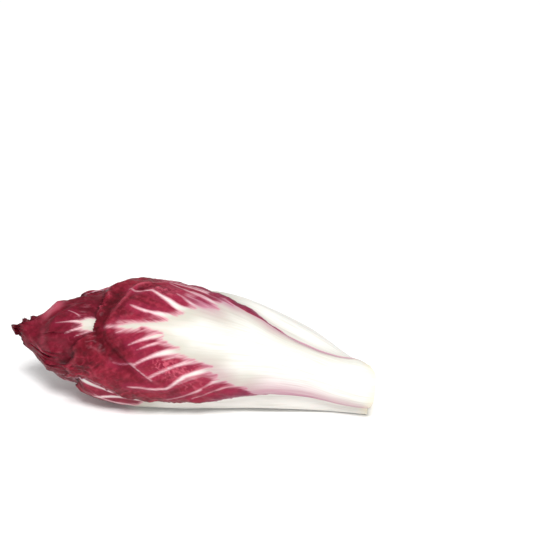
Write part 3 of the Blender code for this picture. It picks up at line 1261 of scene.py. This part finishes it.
def leaf_tissue_group() -> bpy.types.NodeTree:
    """Build the node group that all the leaf finishes share.

    Returns:
        The group, with the colour, the roughness and the height of a leaf's surface as its outputs.
    """
    tree = bpy.data.node_groups.new("Leaf Tissue", "ShaderNodeTree")
    for way, kind, labels in (("INPUT", "Float", MARKS + GLOSS_INPUTS), ("INPUT", "Vector", PLANES),
                              ("INPUT", "Color", COLOR_INPUTS), ("OUTPUT", "Color", ("Color",)),
                              ("OUTPUT", "Float", ("Roughness", "Height"))):
        for label in labels:
            tree.interface.new_socket(label, in_out=way, socket_type=f"NodeSocket{kind}")
    graph = Graph(tree)
    given = graph.node("NodeGroupInput", {})

    # Fibres run along the leaf, streaks fan out with the veins, and blotches and specks go no way
    fibres = graph.drawn_out(given["Run"], 0.06, 1.3, 4.0)
    bands = graph.drawn_out(given["Run"], 0.018, 0.28, 2.0)
    streaks = graph.drawn_out(given["Fan"], 0.09, 0.75, 3.0, 0.3)
    brush = graph.drawn_out(given["Fan"], 0.11, 1.5, 3.0, 0.3)
    blotches = graph.noise(given["Fan"], 0.11, 3.0, 0.3)
    mottle = graph.noise(given["Fan"], 0.4, 3.0, 0.4)
    grain = graph.noise(given["Fan"], 1.5)

    # How pale the tissue is, with an edge between the pale and the red that frays most beside the rib
    near = graph.ease(graph.math("ABSOLUTE", given["Rib"], 0.0), 0.5, 3.5, 1.0, 0.0)
    frayed = graph.shifted(given["Pale"], streaks, 0.8)
    frayed = graph.math("ADD", frayed, graph.times(near, graph.ease(brush, 0.25, 0.75, -0.36, 0.36)))
    soft = graph.ease(frayed, -1.0, 0.8)
    pale = graph.ease(frayed, -0.4, 0.5)
    pale = graph.math("ADD", pale, graph.times(near, graph.math("SUBTRACT", soft, pale)))
    border = graph.ease(frayed, -2.8, -0.2)

    # The red blade
    tone = graph.total((blotches, 0.4), (streaks, 0.25), (mottle, 0.35))
    red = graph.mix(graph.ease(tone, 0.36, 0.64), given["Deep"], given["Bright"])
    red = graph.mix(graph.times(border, 0.5), red, given["Border"])
    # Patches and specks of painted highlight stand in for glints on the crinkled blade
    red = graph.mix(graph.ease(mottle, 0.5, 0.85, 0.0, 0.22), red, given["Lit"])
    red = graph.mix(graph.ease(grain, 0.6, 0.78, 0.0, 0.25), red, given["Lit"])
    red = graph.mix(graph.times(given["Mauve"], 0.7), red, given["Purple"])

    # The cream rib and veins, pink at their edges and more yellow at the cut base
    depth = graph.shifted(given["Pale"], bands, 7.0)
    vein = graph.ease(given["Rib"], -5.0, 1.5, 0.9, 0.0)
    bright = graph.math("MAXIMUM", graph.ease(depth, 0.0, 12.0, 0.15, 1.0), vein)
    cream = graph.mix(bright, given["Shaded Cream"], given["Cream"])
    cream = graph.mix(graph.ease(fibres, 0.42, 0.72, 0.0, 0.4), cream, given["Shaded Cream"])
    cream = graph.mix(graph.ease(frayed, 0.1, 0.9, 0.75, 0.0), cream, given["Pink"])
    tint = graph.times(given["Mauve"], graph.ease(fibres, 0.25, 0.6, 0.7, 1.0))
    cream = graph.mix(tint, cream, given["Mauve Tint"])
    from_base = graph.node("ShaderNodeSeparateXYZ", {0: given["Run"]})[0]
    cream = graph.mix(graph.ease(from_base, 0.0, 4.5, 0.6, 0.0), cream, given["Base Tint"])
    color = graph.mix(pale, red, cream)

    # Painted highlight on ridges and crests where the blade is red, and painted shade in creases and dips
    # everywhere
    ridge = graph.ease(given["Painted_shading"], -1.0, 0.0, 0.85, 0.0)
    color = graph.mix(graph.times(ridge, graph.math("SUBTRACT", 1.0, pale)), color, given["Lit"])
    color = graph.mix(graph.ease(given["Painted_shading"], 0.0, 1.0, 0.0, 0.9), color, given["Shade"], "MULTIPLY")
    edge = graph.shifted(given["Margin"], grain, 0.6)
    rim = graph.mix(graph.math("MAXIMUM", pale, given["Mauve"]), given["Rim"], given["Pale Rim"])
    color = graph.mix(graph.ease(edge, 0.1, 0.8, 0.8, 0.0), color, rim)

    gloss = {0: pale, 2: given["Red Roughness"], 3: given["Pale Roughness"]}
    rough = graph.node("ShaderNodeMix", gloss, data_type="FLOAT")[0]
    graph.feed(tree.nodes.new("NodeGroupOutput").inputs, {
        "Color": color,
        "Roughness": graph.shifted(rough, blotches, 0.2),
        "Height": graph.total((fibres, 0.4), (grain, 0.35), (streaks, 0.5)),
    })
    return tree


@dataclass(frozen=True)
class Studio:
    """The floor, the lights and the camera, in metres.

    aim_right and aim_up are how far right of and over the head's middle the camera points, which puts the
    head low and left in the frame as in the photograph.
    """

    azimuth: float = 8.0
    elevation: float = 28.0
    lens: float = 100.0
    sensor: float = 36.0
    distance: float = 0.6148
    middle: tuple[float, float, float] = (0.0, -0.001, 0.025)
    aim_right: float = 0.0323
    aim_up: float = 0.0319
    clip: tuple[float, float] = (0.05, 20.0)
    floor_size: float = 8.0
    floor_drop: float = 0.00002
    floor_color: Color = (0.9, 0.895, 0.89, 1.0)
    floor_roughness: float = 0.75
    floor_gloss: float = 0.1
    floor_glow: float = 0.06
    surround: float = 0.5

    def build(self) -> None:
        """Make everything."""
        self.make_floor()
        self.make_surround()
        self.make_light("Key softbox", (0.25, -1.75, 2.45), 0.9, 98.0)
        self.make_light("Overhead softbox", (-0.1, 0.25, 1.4), 1.2, 0.6)
        self.make_camera()
        log.info("studio is ready")

    def make_floor(self) -> None:
        """Lay the pale floor just under the head."""
        bm = bmesh.new()
        bmesh.ops.create_grid(bm, x_segments=1, y_segments=1, size=self.floor_size / 2)
        bmesh.ops.translate(bm, verts=bm.verts[:], vec=(0, 0, -self.floor_drop))
        floor = new_object("floor", bm)
        material, graph, shader = new_material("Pale floor")
        graph.feed(shader, {
            "Base Color": self.floor_color,
            "Roughness": self.floor_roughness,
            "Specular IOR Level": self.floor_gloss,
            "Emission Color": WHITE,
            "Emission Strength": self.floor_glow,
        })
        floor.data.materials.append(material)

    def make_surround(self) -> None:
        """Light the scene from all round."""
        world = bpy.data.worlds.new("Studio")
        world.use_nodes = True
        background = world.node_tree.nodes["Background"].inputs
        Graph(world.node_tree).feed(background, {"Color": WHITE, "Strength": self.surround})
        bpy.context.scene.world = world

    def make_light(self, name: str, place: tuple[float, float, float], size: float, power: float) -> None:
        """Hang a square softbox that faces the head.

        Args:
            name: Name of the light.
            place: Where it hangs.
            size: Length of its side.
            power: Its power in watts.
        """
        light = bpy.data.lights.new(name, "AREA")
        light.shape = "SQUARE"
        light.size = size
        light.energy = power
        lamp = linked(name, light)
        lamp.location = place
        lamp.rotation_mode = "QUATERNION"
        lamp.rotation_quaternion = (Vector(self.middle) - Vector(place)).to_track_quat("-Z", "Y")

    def make_camera(self) -> None:
        """Set the camera up and point it."""
        a, e = math.radians(self.azimuth), math.radians(self.elevation)
        back = Vector((math.sin(a) * math.cos(e), -math.cos(a) * math.cos(e), math.sin(e)))
        right = Vector((math.cos(a), math.sin(a), 0.0))
        up = back.cross(right)
        middle = Vector(self.middle)
        lens = bpy.data.cameras.new("Camera")
        lens.lens = self.lens
        lens.sensor_width = self.sensor
        lens.clip_start, lens.clip_end = self.clip
        camera = linked("Camera", lens)
        camera.location = middle + back * self.distance
        aim = middle + right * self.aim_right + up * self.aim_up
        square = Matrix((right, up, back)).transposed().to_quaternion()
        camera.rotation_mode = "QUATERNION"
        camera.rotation_quaternion = (-back).rotation_difference(aim - camera.location) @ square
        bpy.context.scene.camera = camera
        bpy.context.scene.view_settings.view_transform = "Standard"


OUTER_RIB = Profile((75, 2.8), (60, 3.5), (45, 3.6), (0, 1.9), (-35, 1.0), (-50, 0.9))
OUTER_EDGE = Profile((75, 1.2), (45, 1.1), (10, 0.9), (-50, 0.9))
MIDDLE_RIB = Profile((60, 2.3), (0, 1.5), (-40, 0.95), (-72, 0.85))
MIDDLE_EDGE = Profile((60, 1.0), (30, 0.9), (-72, 0.85))
INNER_RIB = Profile((50, 1.7), (0, 1.2), (-72, 0.85))
INNER_EDGE = Profile((50, 0.9), (-72, 0.85))


def front_tissue() -> PaleTissue:
    """The pale part of the front leaf, whose rib's lines go through the tips of the red flames.

    Returns:
        The rib, the listed veins and the flames.
    """
    upper = (
        (-32.5, 41), (-31, 41.4), (-27, 42.2), (-23.5, 43.7), (-14, 45.4), (-10.5, 46.5), (-9.2, 47.5),
        (-6.5, 50.5), (-4, 53.5), (-2.2, 56.5), (0, 60), (1.5, 63.5), (2.4, 65.5), (6, 67), (10, 69.5),
        (11, 73), (12, 80), (13, 86), (18, 96), (24, 101), (44.5, 110), (75, 150))
    lower = (
        (-32.5, 41), (-31, 40.6), (-27, 39.8), (-22.8, 38.4), (-14, 37.2), (-10.2, 35.8), (-8.6, 33),
        (-8.2, 29.8), (-5.5, 28), (-3.6, 25.5), (-1, 21), (1.5, 17.5), (5, 14.5), (9.2, 11.8), (10.4, 6),
        (11.6, 0.5), (14.5, -4.5), (18, -7.5), (22, -12), (26, -18), (31, -26.5), (36, -35), (75, -75))
    # Rows: the path outwards from the rib, the half widths at its root and its tip, and its own slope
    placed = each(
        Vein,
        (((4, 59), (-1.8, 60.5), (-7.2, 68), (-11.8, 74.5), (-15.4, 80.5)), 2.1, 0.5),
        (((-2, 50), (-8.8, 52.5), (-14.5, 54.2), (-18.8, 57.5), (-23, 62.5)), 1.7, 0.25),
        (((8, 63), (2.2, 67.5), (-1.2, 74), (-5.2, 80)), 1.3, 0.15),
        (((17, 76), (10.2, 77), (5.8, 83.5), (-0.2, 90)), 1.2, 0.14),
        (((15, 71), (7.8, 79), (1.5, 86), (-5.0, 93), (-9.5, 98.5)), 0.9, 0.18),
        (((18, 84), (9.2, 89.5), (3, 95), (-5.5, 101), (-13, 103.5)), 0.8, 0.22),
        (((16, 80), (9, 92), (1, 101), (-7, 108), (-15, 112)), 0.6, 0.2),
        (((-20, 43), (-23, 44.6), (-26.5, 46)), 0.45, 0.05),
        (((-19, 39), (-22.5, 37.6), (-27, 35.5)), 0.4, 0.05),
        (((-5, 36.5), (-10, 34), (-15.2, 30.5), (-22, 25)), 1.6, 0.14),
        (((-4, 31), (-8.8, 28.5), (-13.2, 25.5), (-18.5, 20.5)), 1.3, 0.12),
        (((2, 27), (-4, 22.5), (-11, 17), (-20.2, 6)), 1.9, 0.32),
        (((7, 17.5), (1.8, 13.5), (-5, 6.5), (-13.5, -4)), 1.1, 0.12),
        (((3, 19), (-1, 18), (-4.5, 16), (-8, 13)), 0.9, 0.05),
        (((17, 14), (10, 8), (4, 2), (-0.5, -3), (-4.5, -12.5), (-9.5, -19), (-15.2, -18), (-22.5, -17)),
         1.5, 0.3),
        (((19, 2), (13.5, -4.5), (9, -12.5), (4, -20.5), (-1, -27.5), (-7, -33)), 1.2, 0.14),
        (((15, 3), (9, -0.5), (3, -4), (-2, -11)), 0.7, 0.06),
        (((21, -9), (15, -14.5), (8, -24), (3, -31)), 0.45, 0.06),
        (((12, 66), (7.5, 70), (3.5, 74.5), (-1, 81)), 0.25, 0.02, 0.16),
        (((-15.4, 80.5), (-17, 80), (-19, 79), (-22, 80.5), (-25.2, 87.5)), 0.3, 0.2),
        (((-12.5, -8), (-16.2, -1.5), (-20.2, 6)), 0.14, 0.2),
        (((-20.5, 7.5), (-23, 6.2), (-25, 6), (-28, 7.5)), 0.22, 0.12),
        (((-5.5, 5.5), (-9.5, 0), (-13, -5)), 0.16, 0.12),
    )
    flames = each(
        Vein,
        (((-10, 63), (-5.5, 60), (-1.5, 57.6)), 1.1, 0.04, 1.0),
        (((-15, 51.5), (-11, 49.8), (-7.2, 48.6)), 0.9, 0.04, 1.0),
        (((-4, 74.5), (-1, 70), (2.8, 65)), 1.0, 0.04, 1.0),
        (((3, 80), (7, 75), (11.6, 69)), 0.7, 0.03, 0.8),
        (((8, 93), (13, 86), (17, 80)), 1.2, 0.04, 0.8),
        (((-17, 38.5), (-13, 37.5), (-8.4, 35.8)), 0.8, 0.04, 1.0),
        (((-13, 28.5), (-10, 29), (-6.8, 29)), 0.5, 0.03, 1.0),
        (((-10, 24), (-6, 24.8), (-1.8, 25.6)), 0.9, 0.04, 1.0),
        (((-3, 14.5), (0.5, 15.5), (4.2, 15.8)), 0.7, 0.04, 1.0),
        (((1, 6.5), (6, 9.5), (11.2, 11)), 1.2, 0.04, 1.0),
        (((5, -7), (9, -2.5), (13, 0.5)), 1.0, 0.04, 1.0),
        (((6, -3), (9.5, 0.5), (13, 2.5)), 0.4, 0.04, 1.0),
        (((8, -15.5), (12, -9), (16.5, -4.5)), 0.8, 0.04, 1.0),
        (((13, -22), (18, -15), (24.5, -11.5)), 1.3, 0.04, 0.9),
    )
    return PaleTissue(upper, lower, placed, flames)


def drawn_tissue(middle: float, low: Profile, high: Profile, fan: VeinFan, seed: int,
                 placed: tuple[Vein, ...] = ()) -> PaleTissue:
    """A rib of given widths under and over its middle, with a drawn fan of veins and the placed ones."""
    upper, lower = even_rib(middle, low, high)
    return PaleTissue(upper, lower, fan.draw(middle, low, high, seed) + placed)


def outer_leaves() -> list[Leaf]:
    """The three large leaves that show most.

    Returns:
        The leaves, outermost first.
    """
    front = Leaf(
        "front_leaf", "leaf_front", Slot.OUTER, base=76.0, tip=-40.0, corners=(-47.0, -33.0), middle=43.0,
        low=Profile(
            (76, -34), (70, -35), (65, -34), (59, -31), (55, -27), (49, -23), (42, -22), (35, -23),
            (29, -27), (23, -32), (18, -36), (14, -40), (9, -43), (5, -45), (-14, -45), (-23, -41),
            (-30, -31), (-36, -22), (-40, -19), (-48, -27)),
        high=Profile(
            (76, 99), (70, 99), (64, 84), (58, 73), (51, 66), (45, 65), (38, 69), (32, 76), (28, 84),
            (23, 92), (18, 98), (11, 107), (4, 116), (-5, 122), (-20, 122), (-34, 110)),
        rib=OUTER_RIB, edge=OUTER_EDGE, cells=(150, 250), ragged=1.4, seed=11, tissue=front_tissue(),
        end=Profile(
            (-37, -50), (-30, -49.4), (-26, -47.6), (-20, -48.6), (-14, -49), (-9, -47), (-4, -48.6),
            (-0.5, -49.4), (4, -47), (8, -45.8), (13, -44), (17, -44.6), (21, -45.2), (26, -43.8),
            (34, -40.5), (39, -37.2), (45, -36.5), (54, -36.2), (65, -36), (80, -35.2), (88, -35),
            (96, -33.8), (101, -31), (114, -27)),
        red_low=Profile(
            (-50, 0), (14, 2.6), (20, 2.2), (25, 1.6), (30, 0.9), (35, 0.1), (40, -0.6), (75, -1.0)),
        red_high=Profile(
            (-50, 0), (11, 5.6), (18, 6.4), (22, 6.2), (26, 4.8), (29, 3.3), (32, 2.1), (36, 1.1), (42, 0.2),
            (50, -0.6), (75, -1.0)),
        mauve_low=Profile((-50, 0.5), (0, 1.5), (14, 10), (28, 14), (40, 12), (55, 9), (70, 5.5), (75, 4)),
        mauve_high=Profile(
            (-50, 0.5), (-15, 2), (0, 9), (11, 12), (25, 10), (32, 7.5), (37, 5), (45, 3.4), (60, 3),
            (75, 4)),
        blushes=(Swelling(6.0, 72.0, 8.0, 4.0, 0.0, turned=-25, painted_light_and_tint=0.6),
                 Swelling(15.0, 82.0, 8.0, 3.5, 0.0, turned=-20, painted_light_and_tint=0.65),
                 Swelling(14.0, 3.0, 9.0, 4.0, 0.0, turned=-30, painted_light_and_tint=0.35)),
        # Rows: station, angle, half lengths along and across, height, turn, and how dark a painted shade
        # makes it, which is a painted highlight that makes it lighter where less than 0
        swellings=each(
            Swelling,
            (-19.2, 85, 3.2, 0.9, -0.45, 10, 0.85),
            (-19.5, 91, 4.5, 1.5, 0.6, 8, -0.45),
            (-36, 12, 5, 4, 0.5, 30),
            (-39.5, 22, 3.2, 4, 0.6, -20, 0.5),
            (-33, 2, 4, 2.2, -0.5, 25, 0.2),
            (-41.5, 4, 2.8, 2.6, 0.45),
            (-33, 82, 0.9, 2.6, 0.35, 10, -0.7),
            (-35.6, 64, 0.8, 3.6, 0.3, 5, -0.6),
            (-37, 24.5, 0.7, 1.8, 0.2, 15, -0.6),
            (-35, 21, 0.7, 1.8, 0.15, 15, -0.45),
            (-34, 72, 4.5, 9, -0.2, 0, 0.35),
            (-33, 38, 3.5, 7, -0.1, 0, 0.4),
            (-22, 100, 12, 5, 0, 0, 0.25),
            (-39, 10, 8, 8, 0, 0, 0.72),
            (-26, 18, 3.5, 8, 0, 30, 0.62),
            (-27, 116, 10, 8, 0.9),
            (66.5, 90, 4.5, 4, 0.7),
            (0, 0, 9, 6, 0, 0, -0.2),
            (-4, 86, 9, 5, 0, 0, -0.18),
            (-13, 85, 1.6, 1, 0.3, 0, -0.55),
            (-8.2, 77, 1.6, 0.8, 0.3, -30, -0.5),
        ),
        # Crinkled patches, whose crests get a painted highlight
        crumples=(
            Crumple(Swelling(-38.0, 0.0, 7.0, 6.0, 0.4, painted_light_and_tint=0.9), Ripple(5.0, 901)),
            Crumple(Swelling(-31.5, 18.0, 3.0, 5.0, 0.12, painted_light_and_tint=0.35), Ripple(3.4, 902)),
            Crumple(Swelling(-7.0, 5.0, 6.0, 4.5, 0.28, painted_light_and_tint=1.2), Ripple(2.8, 903)),
            Crumple(Swelling(2.0, 4.0, 7.0, 3.5, 0.2, painted_light_and_tint=0.85), Ripple(3.0, 906, stretch=1.6)),
            Crumple(Swelling(3.0, -12.0, 7.0, 3.5, 0.15, painted_light_and_tint=0.6), Ripple(3.2, 907, stretch=1.6)),
            Crumple(Swelling(-36.0, 66.0, 3.0, 9.0, 0.3, painted_light_and_tint=0.45), Ripple(3.4, 904)),
            Crumple(Swelling(-12.0, 82.0, 8.0, 3.5, 0.2, painted_light_and_tint=0.6), Ripple(2.6, 905)),
        ),
        rounded=(2.8, 9.2),
        fold=CrossFold(),
        lift=Profile((-1, 0.9), (-0.7, 1.3), (-0.3, 1.1), (0.05, 0.5), (0.5, 0.35), (1, 0.5)),
    )
    under = Leaf(
        "under_leaf", "leaf_under", Slot.OUTER, base=73.2, tip=-45.0, corners=(-36.0, -43.0), middle=-88.0,
        low=Profile((75, -152), (55, -166), (20, -172), (-20, -162), (-45, -140)),
        high=Profile(
            (75, -22), (70, -22), (64, -17), (58, -9), (50, -3), (42, -2), (35, -4), (28, -8), (23, -13),
            (18, -18), (13, -23), (5, -28), (-14, -30), (-23, -25), (-30, -14), (-38, -8), (-45, -8)),
        rib=OUTER_RIB, edge=OUTER_EDGE, cells=(140, 210), ragged=1.0, seed=23,
        tissue=drawn_tissue(
            -88.0, Profile((-36, 1), (-28, 9), (-15, 20), (0, 32), (20, 52), (45, 95), (75, 150)),
            Profile(
                (-36, 2), (-30, 10), (-24, 22), (-18, 36), (-15, 46), (-8, 58), (5, 76), (20, 98), (75, 160)),
            VeinFan(25, -30, 7), 24,
            (Vein(((-42.2, -25), (-40, -26.5), (-37.2, -28.5), (-33, -32), (-29, -37)), 1.5, 0.6, slope=1.0),
             Vein(((-8, -49), (-14, -49.5), (-20, -47), (-25.5, -44), (-31.8, -43), (-38.5, -49)), 1.8, 0.7,
                  slope=1.0))),
        mauve_high=Profile((-50, 0.5), (20, 2.0), (75, 1.0)),
        # A crinkled patch, whose crests get a painted highlight
        crumples=(Crumple(Swelling(-34.0, -30.0, 9.0, 4.0, 0.2, painted_light_and_tint=0.5), Ripple(3.2, 911)),),
        lift=Profile((-1, 0.3), (0, 0.2), (0.6, 0.8), (1, 0.6)),
        rounded=(4.0, 1.5),
    )
    back = Leaf(
        "back_leaf", "leaf_back", Slot.OUTER, base=73.6, tip=-49.0, corners=(-44.8, -38.0), middle=160.0,
        low=Profile(
            (75, 84), (70, 82), (64, 68), (58, 57), (51, 50), (45, 49), (38, 53), (32, 60), (28, 68),
            (23, 76), (18, 82), (11, 91), (4, 99), (-5, 105), (-20, 109), (-26, 112), (-31, 120), (-38, 125),
            (-42, 123), (-44.2, 113), (-46, 111)),
        high=Profile((75, 224), (55, 211), (20, 205), (-20, 214), (-45, 230)),
        rib=OUTER_RIB, edge=OUTER_EDGE, cells=(140, 220), ragged=1.2, seed=37,
        tissue=drawn_tissue(
            160.0, Profile((-32, 1), (-25, 7), (-10, 19), (4, 36), (14, 62), (28, 95), (75, 150)),
            Profile((-32, 1), (-25, 6), (-10, 16), (5, 28), (20, 44), (45, 85), (75, 150)),
            VeinFan(25, -26, 9), 38),
        rounded=(9.0, 3.0),
        red_high=Profile((-50, 0), (14, 2.0), (30, 1.0), (50, 0.4), (75, 0.2)),
        mauve_high=Profile((-50, 0.5), (20, 4.0), (45, 3.0), (75, 1.0)),
        swellings=(Swelling(68.0, 117.0, 10.0, 8.0, -2.4),),
        lift=Profile((-1, 0.5), (-0.5, 0.4), (0, 0.4), (1, 0.7)),
    )
    return [front, under, back]


def middle_leaves() -> list[Leaf]:
    """The second round of leaves, which show past the ends of the outer ones.

    Returns:
        The leaves, outermost first.
    """
    narrow = Profile((-46, 1), (-42, 6), (-38, 11), (-30, 15), (0, 30), (30, 61), (60, 130))
    fan = VeinFan(8, -41, 8, wide=32.0, narrow=14.0, length=(9.0, 18.0), root=(0.5, 0.9))
    tip = Leaf(
        "tip_leaf", "leaf_tip", Slot.MIDDLE, base=60.0, tip=-70.2, corners=(-67.5, -59.0), middle=50.0,
        low=Profile((60, -28), (30, -30), (-35, -45), (-72, -52)),
        high=Profile((60, 116), (0, 120), (-40, 106), (-54, 102), (-62, 88), (-72, 66)),
        rib=MIDDLE_RIB, edge=MIDDLE_EDGE, cells=(130, 230), ragged=0.9, seed=41,
        tissue=PaleTissue(
            ((-42.4, 47), (-42.2, 51.5), (-41.3, 54.5), (-39.6, 55.6), (-36, 55.2), (-30, 59), (-20, 66),
             (60, 110)),
            ((-42.4, 47), (-42.2, 45), (-41.5, 41.6), (-40, 39.4), (-37.5, 38), (-30, 31), (-20, 20),
             (60, -20)),
            (Vein(((-40, 50), (-43, 49.9), (-47.2, 49.7), (-53.5, 49.6)), 1.3, 0.06, slope=1.2),
             Vein(((-40.5, 43), (-42.6, 42.2), (-45.8, 39.2), (-49.2, 35.8)), 1.0, 0.22, slope=1.2),
             Vein(((-43.6, 57.5), (-45, 59.8), (-48.7, 66)), 0.12, 0.04, slope=1.2),
             Vein(((-39.5, 38.5), (-42.2, 35.4), (-44.8, 32.4)), 0.5, 0.2, slope=1.2))),
        # Rows: station, angle, half lengths along and across, height, turn, and how dark a painted shade
        # makes it, which is a painted highlight that makes it lighter where less than 0
        swellings=each(
            Swelling,
            (-56, 80, 4.6, 3.6, 0.5, 27, -1.1),
            (-51, 99, 5, 4, 1.6),
            (-54, 65, 5.5, 1, -0.4, 27, 0.45),
            (-59, 30, 1.3, 5.5, 0.25, 0, -0.3),
            (-60, 4, 2.2, 0.5, 0.2, -30, -0.7),
            (-51, 20, 6, 3, -0.3, 25),
            (-50, 24, 4, 2.2, 0.15, 0, -0.25),
        ),
        lift=Profile((-1, 0.2), (0, 0.4), (0.6, 0.5), (0.85, 1.2), (1, 1.4)),
    )
    low = Leaf(
        "low_leaf", "leaf_low", Slot.MIDDLE, base=60.0, tip=-66.0, corners=(-60.0, -66.0), middle=-88.0,
        low=Profile((60, -150), (0, -154), (-72, -148)),
        high=Profile((60, -10), (0, -12), (-35, -22), (-72, -30)),
        rib=MIDDLE_RIB, edge=MIDDLE_EDGE, cells=(110, 190), ragged=0.9, seed=53,
        tissue=drawn_tissue(-88.0, narrow, narrow, fan, 54),
    )
    rear = Leaf(
        "rear_leaf", "leaf_rear", Slot.MIDDLE, base=60.0, tip=-63.5, corners=(-56.0, -54.0), middle=162.0,
        low=Profile((60, 96), (0, 100), (-40, 88), (-72, 84)),
        high=Profile((60, 230), (0, 226), (-72, 232)),
        rib=MIDDLE_RIB, edge=MIDDLE_EDGE, cells=(110, 190), ragged=0.9, seed=67,
        tissue=drawn_tissue(162.0, narrow, narrow, fan, 68),
    )
    return [tip, low, rear]


def inner_leaves() -> list[Leaf]:
    """The third round: smaller leaves that close the pointed end.

    Returns:
        The leaves, outermost first.
    """
    width = Profile((-52, 1), (-40, 6), (0, 18), (50, 60))
    fan = VeinFan(0, -48, 6, length=(7.0, 12.0), root=(0.3, 0.6))
    leaves = []
    for node, middle, tip, seed in (
            ("inner_front", -8.0, -67.5, 71), ("inner_top", 108.0, -66.5, 83),
            ("inner_back", -132.0, -66.0, 97)):
        leaves.append(Leaf(
            f"{node}_leaf", node, Slot.INNER, base=50.0, tip=tip, corners=(tip + 7, tip + 5), middle=middle,
            low=Profile((50, middle - 66), (-72, middle - 70)),
            high=Profile((50, middle + 66), (-72, middle + 72)),
            rib=INNER_RIB, edge=INNER_EDGE, cells=(70, 130), ragged=0.6, seed=seed,
            tissue=drawn_tissue(middle, width, width, fan, seed + 1),
        ))
    return leaves


def tip_leaflets() -> list[Leaf]:
    """The small ragged leaves of the bud that poke out at the very end.

    Returns:
        The leaflets, outermost first.
    """
    thin = Profile((-40, 0.7), (-75, 0.45))
    bare = PaleTissue(((-44, 0), (-43, 0)), ((-44, 0), (-43, 0)), ())
    leaflets = []
    for name, middle, low, high, tip, corners, bend, seed in (
            ("tip_leaflet_front", 24.0, ((-44, -96), (-66, -72), (-69.5, -34), (-72.5, -14), (-75.4, 0)),
             ((-44, 90), (-68, 86), (-72, 76), (-75.4, 62)), -75.2, (-74.2, -74.2), 1.2, 131),
            ("tip_leaflet_top", 82.0, ((-44, 12), (-75, 12)), ((-44, 152), (-75, 152)), -70.6,
             (-66.5, -67.2), 1.2, 133)):
        leaflets.append(Leaf(
            name, "heart", Slot.HEART, base=-44.0, tip=tip, corners=corners, middle=middle,
            low=Profile(*low), high=Profile(*high),
            rib=thin, edge=thin, cells=(70, 70), ragged=0.5, seed=seed, tissue=bare, bend=bend,
            lift=Profile((-1, 0.5), (0, 0.2), (1, 0.4))))
    return leaflets



OUTER_FINISH = LeafFinish(
    "Outer leaf", deep=paint(88, 12, 26), bright=paint(136, 32, 50), border=paint(148, 38, 68),
    lit=paint(188, 84, 102), rim=paint(60, 6, 18))
MIDDLE_FINISH = LeafFinish(
    "Middle leaf", deep=paint(78, 8, 22), bright=paint(108, 18, 36), border=paint(122, 24, 50),
    lit=paint(172, 74, 92), rim=paint(44, 5, 14))
INNER_FINISH = LeafFinish(
    "Inner leaf", deep=paint(60, 5, 14), bright=paint(94, 14, 28), border=paint(112, 22, 42),
    lit=paint(150, 58, 76), rim=paint(34, 4, 10))
CUT_FINISH = CutFinish(
    "Cut stem", flesh=paint(247, 241, 218), ring=paint(233, 219, 178), dot=paint(214, 190, 140))


def main() -> None:
    """Build the head and the studio round it, and log each piece with its count of faces."""
    logging.basicConfig(level=logging.INFO, format="%(message)s")
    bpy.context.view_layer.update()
    group = leaf_tissue_group()
    finishes = {
        Slot.OUTER: OUTER_FINISH.material(group),
        Slot.MIDDLE: MIDDLE_FINISH.material(group),
        Slot.INNER: INNER_FINISH.material(group),
    }
    finishes[Slot.HEART] = finishes[Slot.INNER]
    cut = CUT_FINISH.material()
    leaves = outer_leaves() + middle_leaves() + inner_leaves() + tip_leaflets()
    for number, leaf in enumerate(leaves):
        leaf.over = leaves[:number]
        present(leaf.build(), leaf.node, (finishes[leaf.slot], cut))
    heart = Bud(
        "closed_heart", "heart", Slot.HEART,
        ((30.5, 2.2), (26, 5.0), (15, 12.0), (0, 20.0), (-55, 20.0), (-63, 7.0), (-68, 4.0), (-70.5, 2.6),
         (-72.5, 1.4), (-74, 0.6)), cells=(96, 150), tip_fold=0.35)
    present(heart.build(leaves), heart.node, (finishes[Slot.INNER], cut))
    core = Bud(
        "stem_core_flesh", "stem_core", Slot.STEM,
        ((74.9, 5.4), (74.4, 6.8), (73.4, 7.7), (71.5, 8.0), (69.5, 7.7), (66, 6.4), (61, 3.9), (50, 3.2),
         (42, 2.4), (32, 1.4)), cells=(96, 90), snug=0.985, fold=0.0)
    present(core.build(leaves), core.node, (cut, cut))
    Studio().build()


if __name__ == "__main__":
    main()
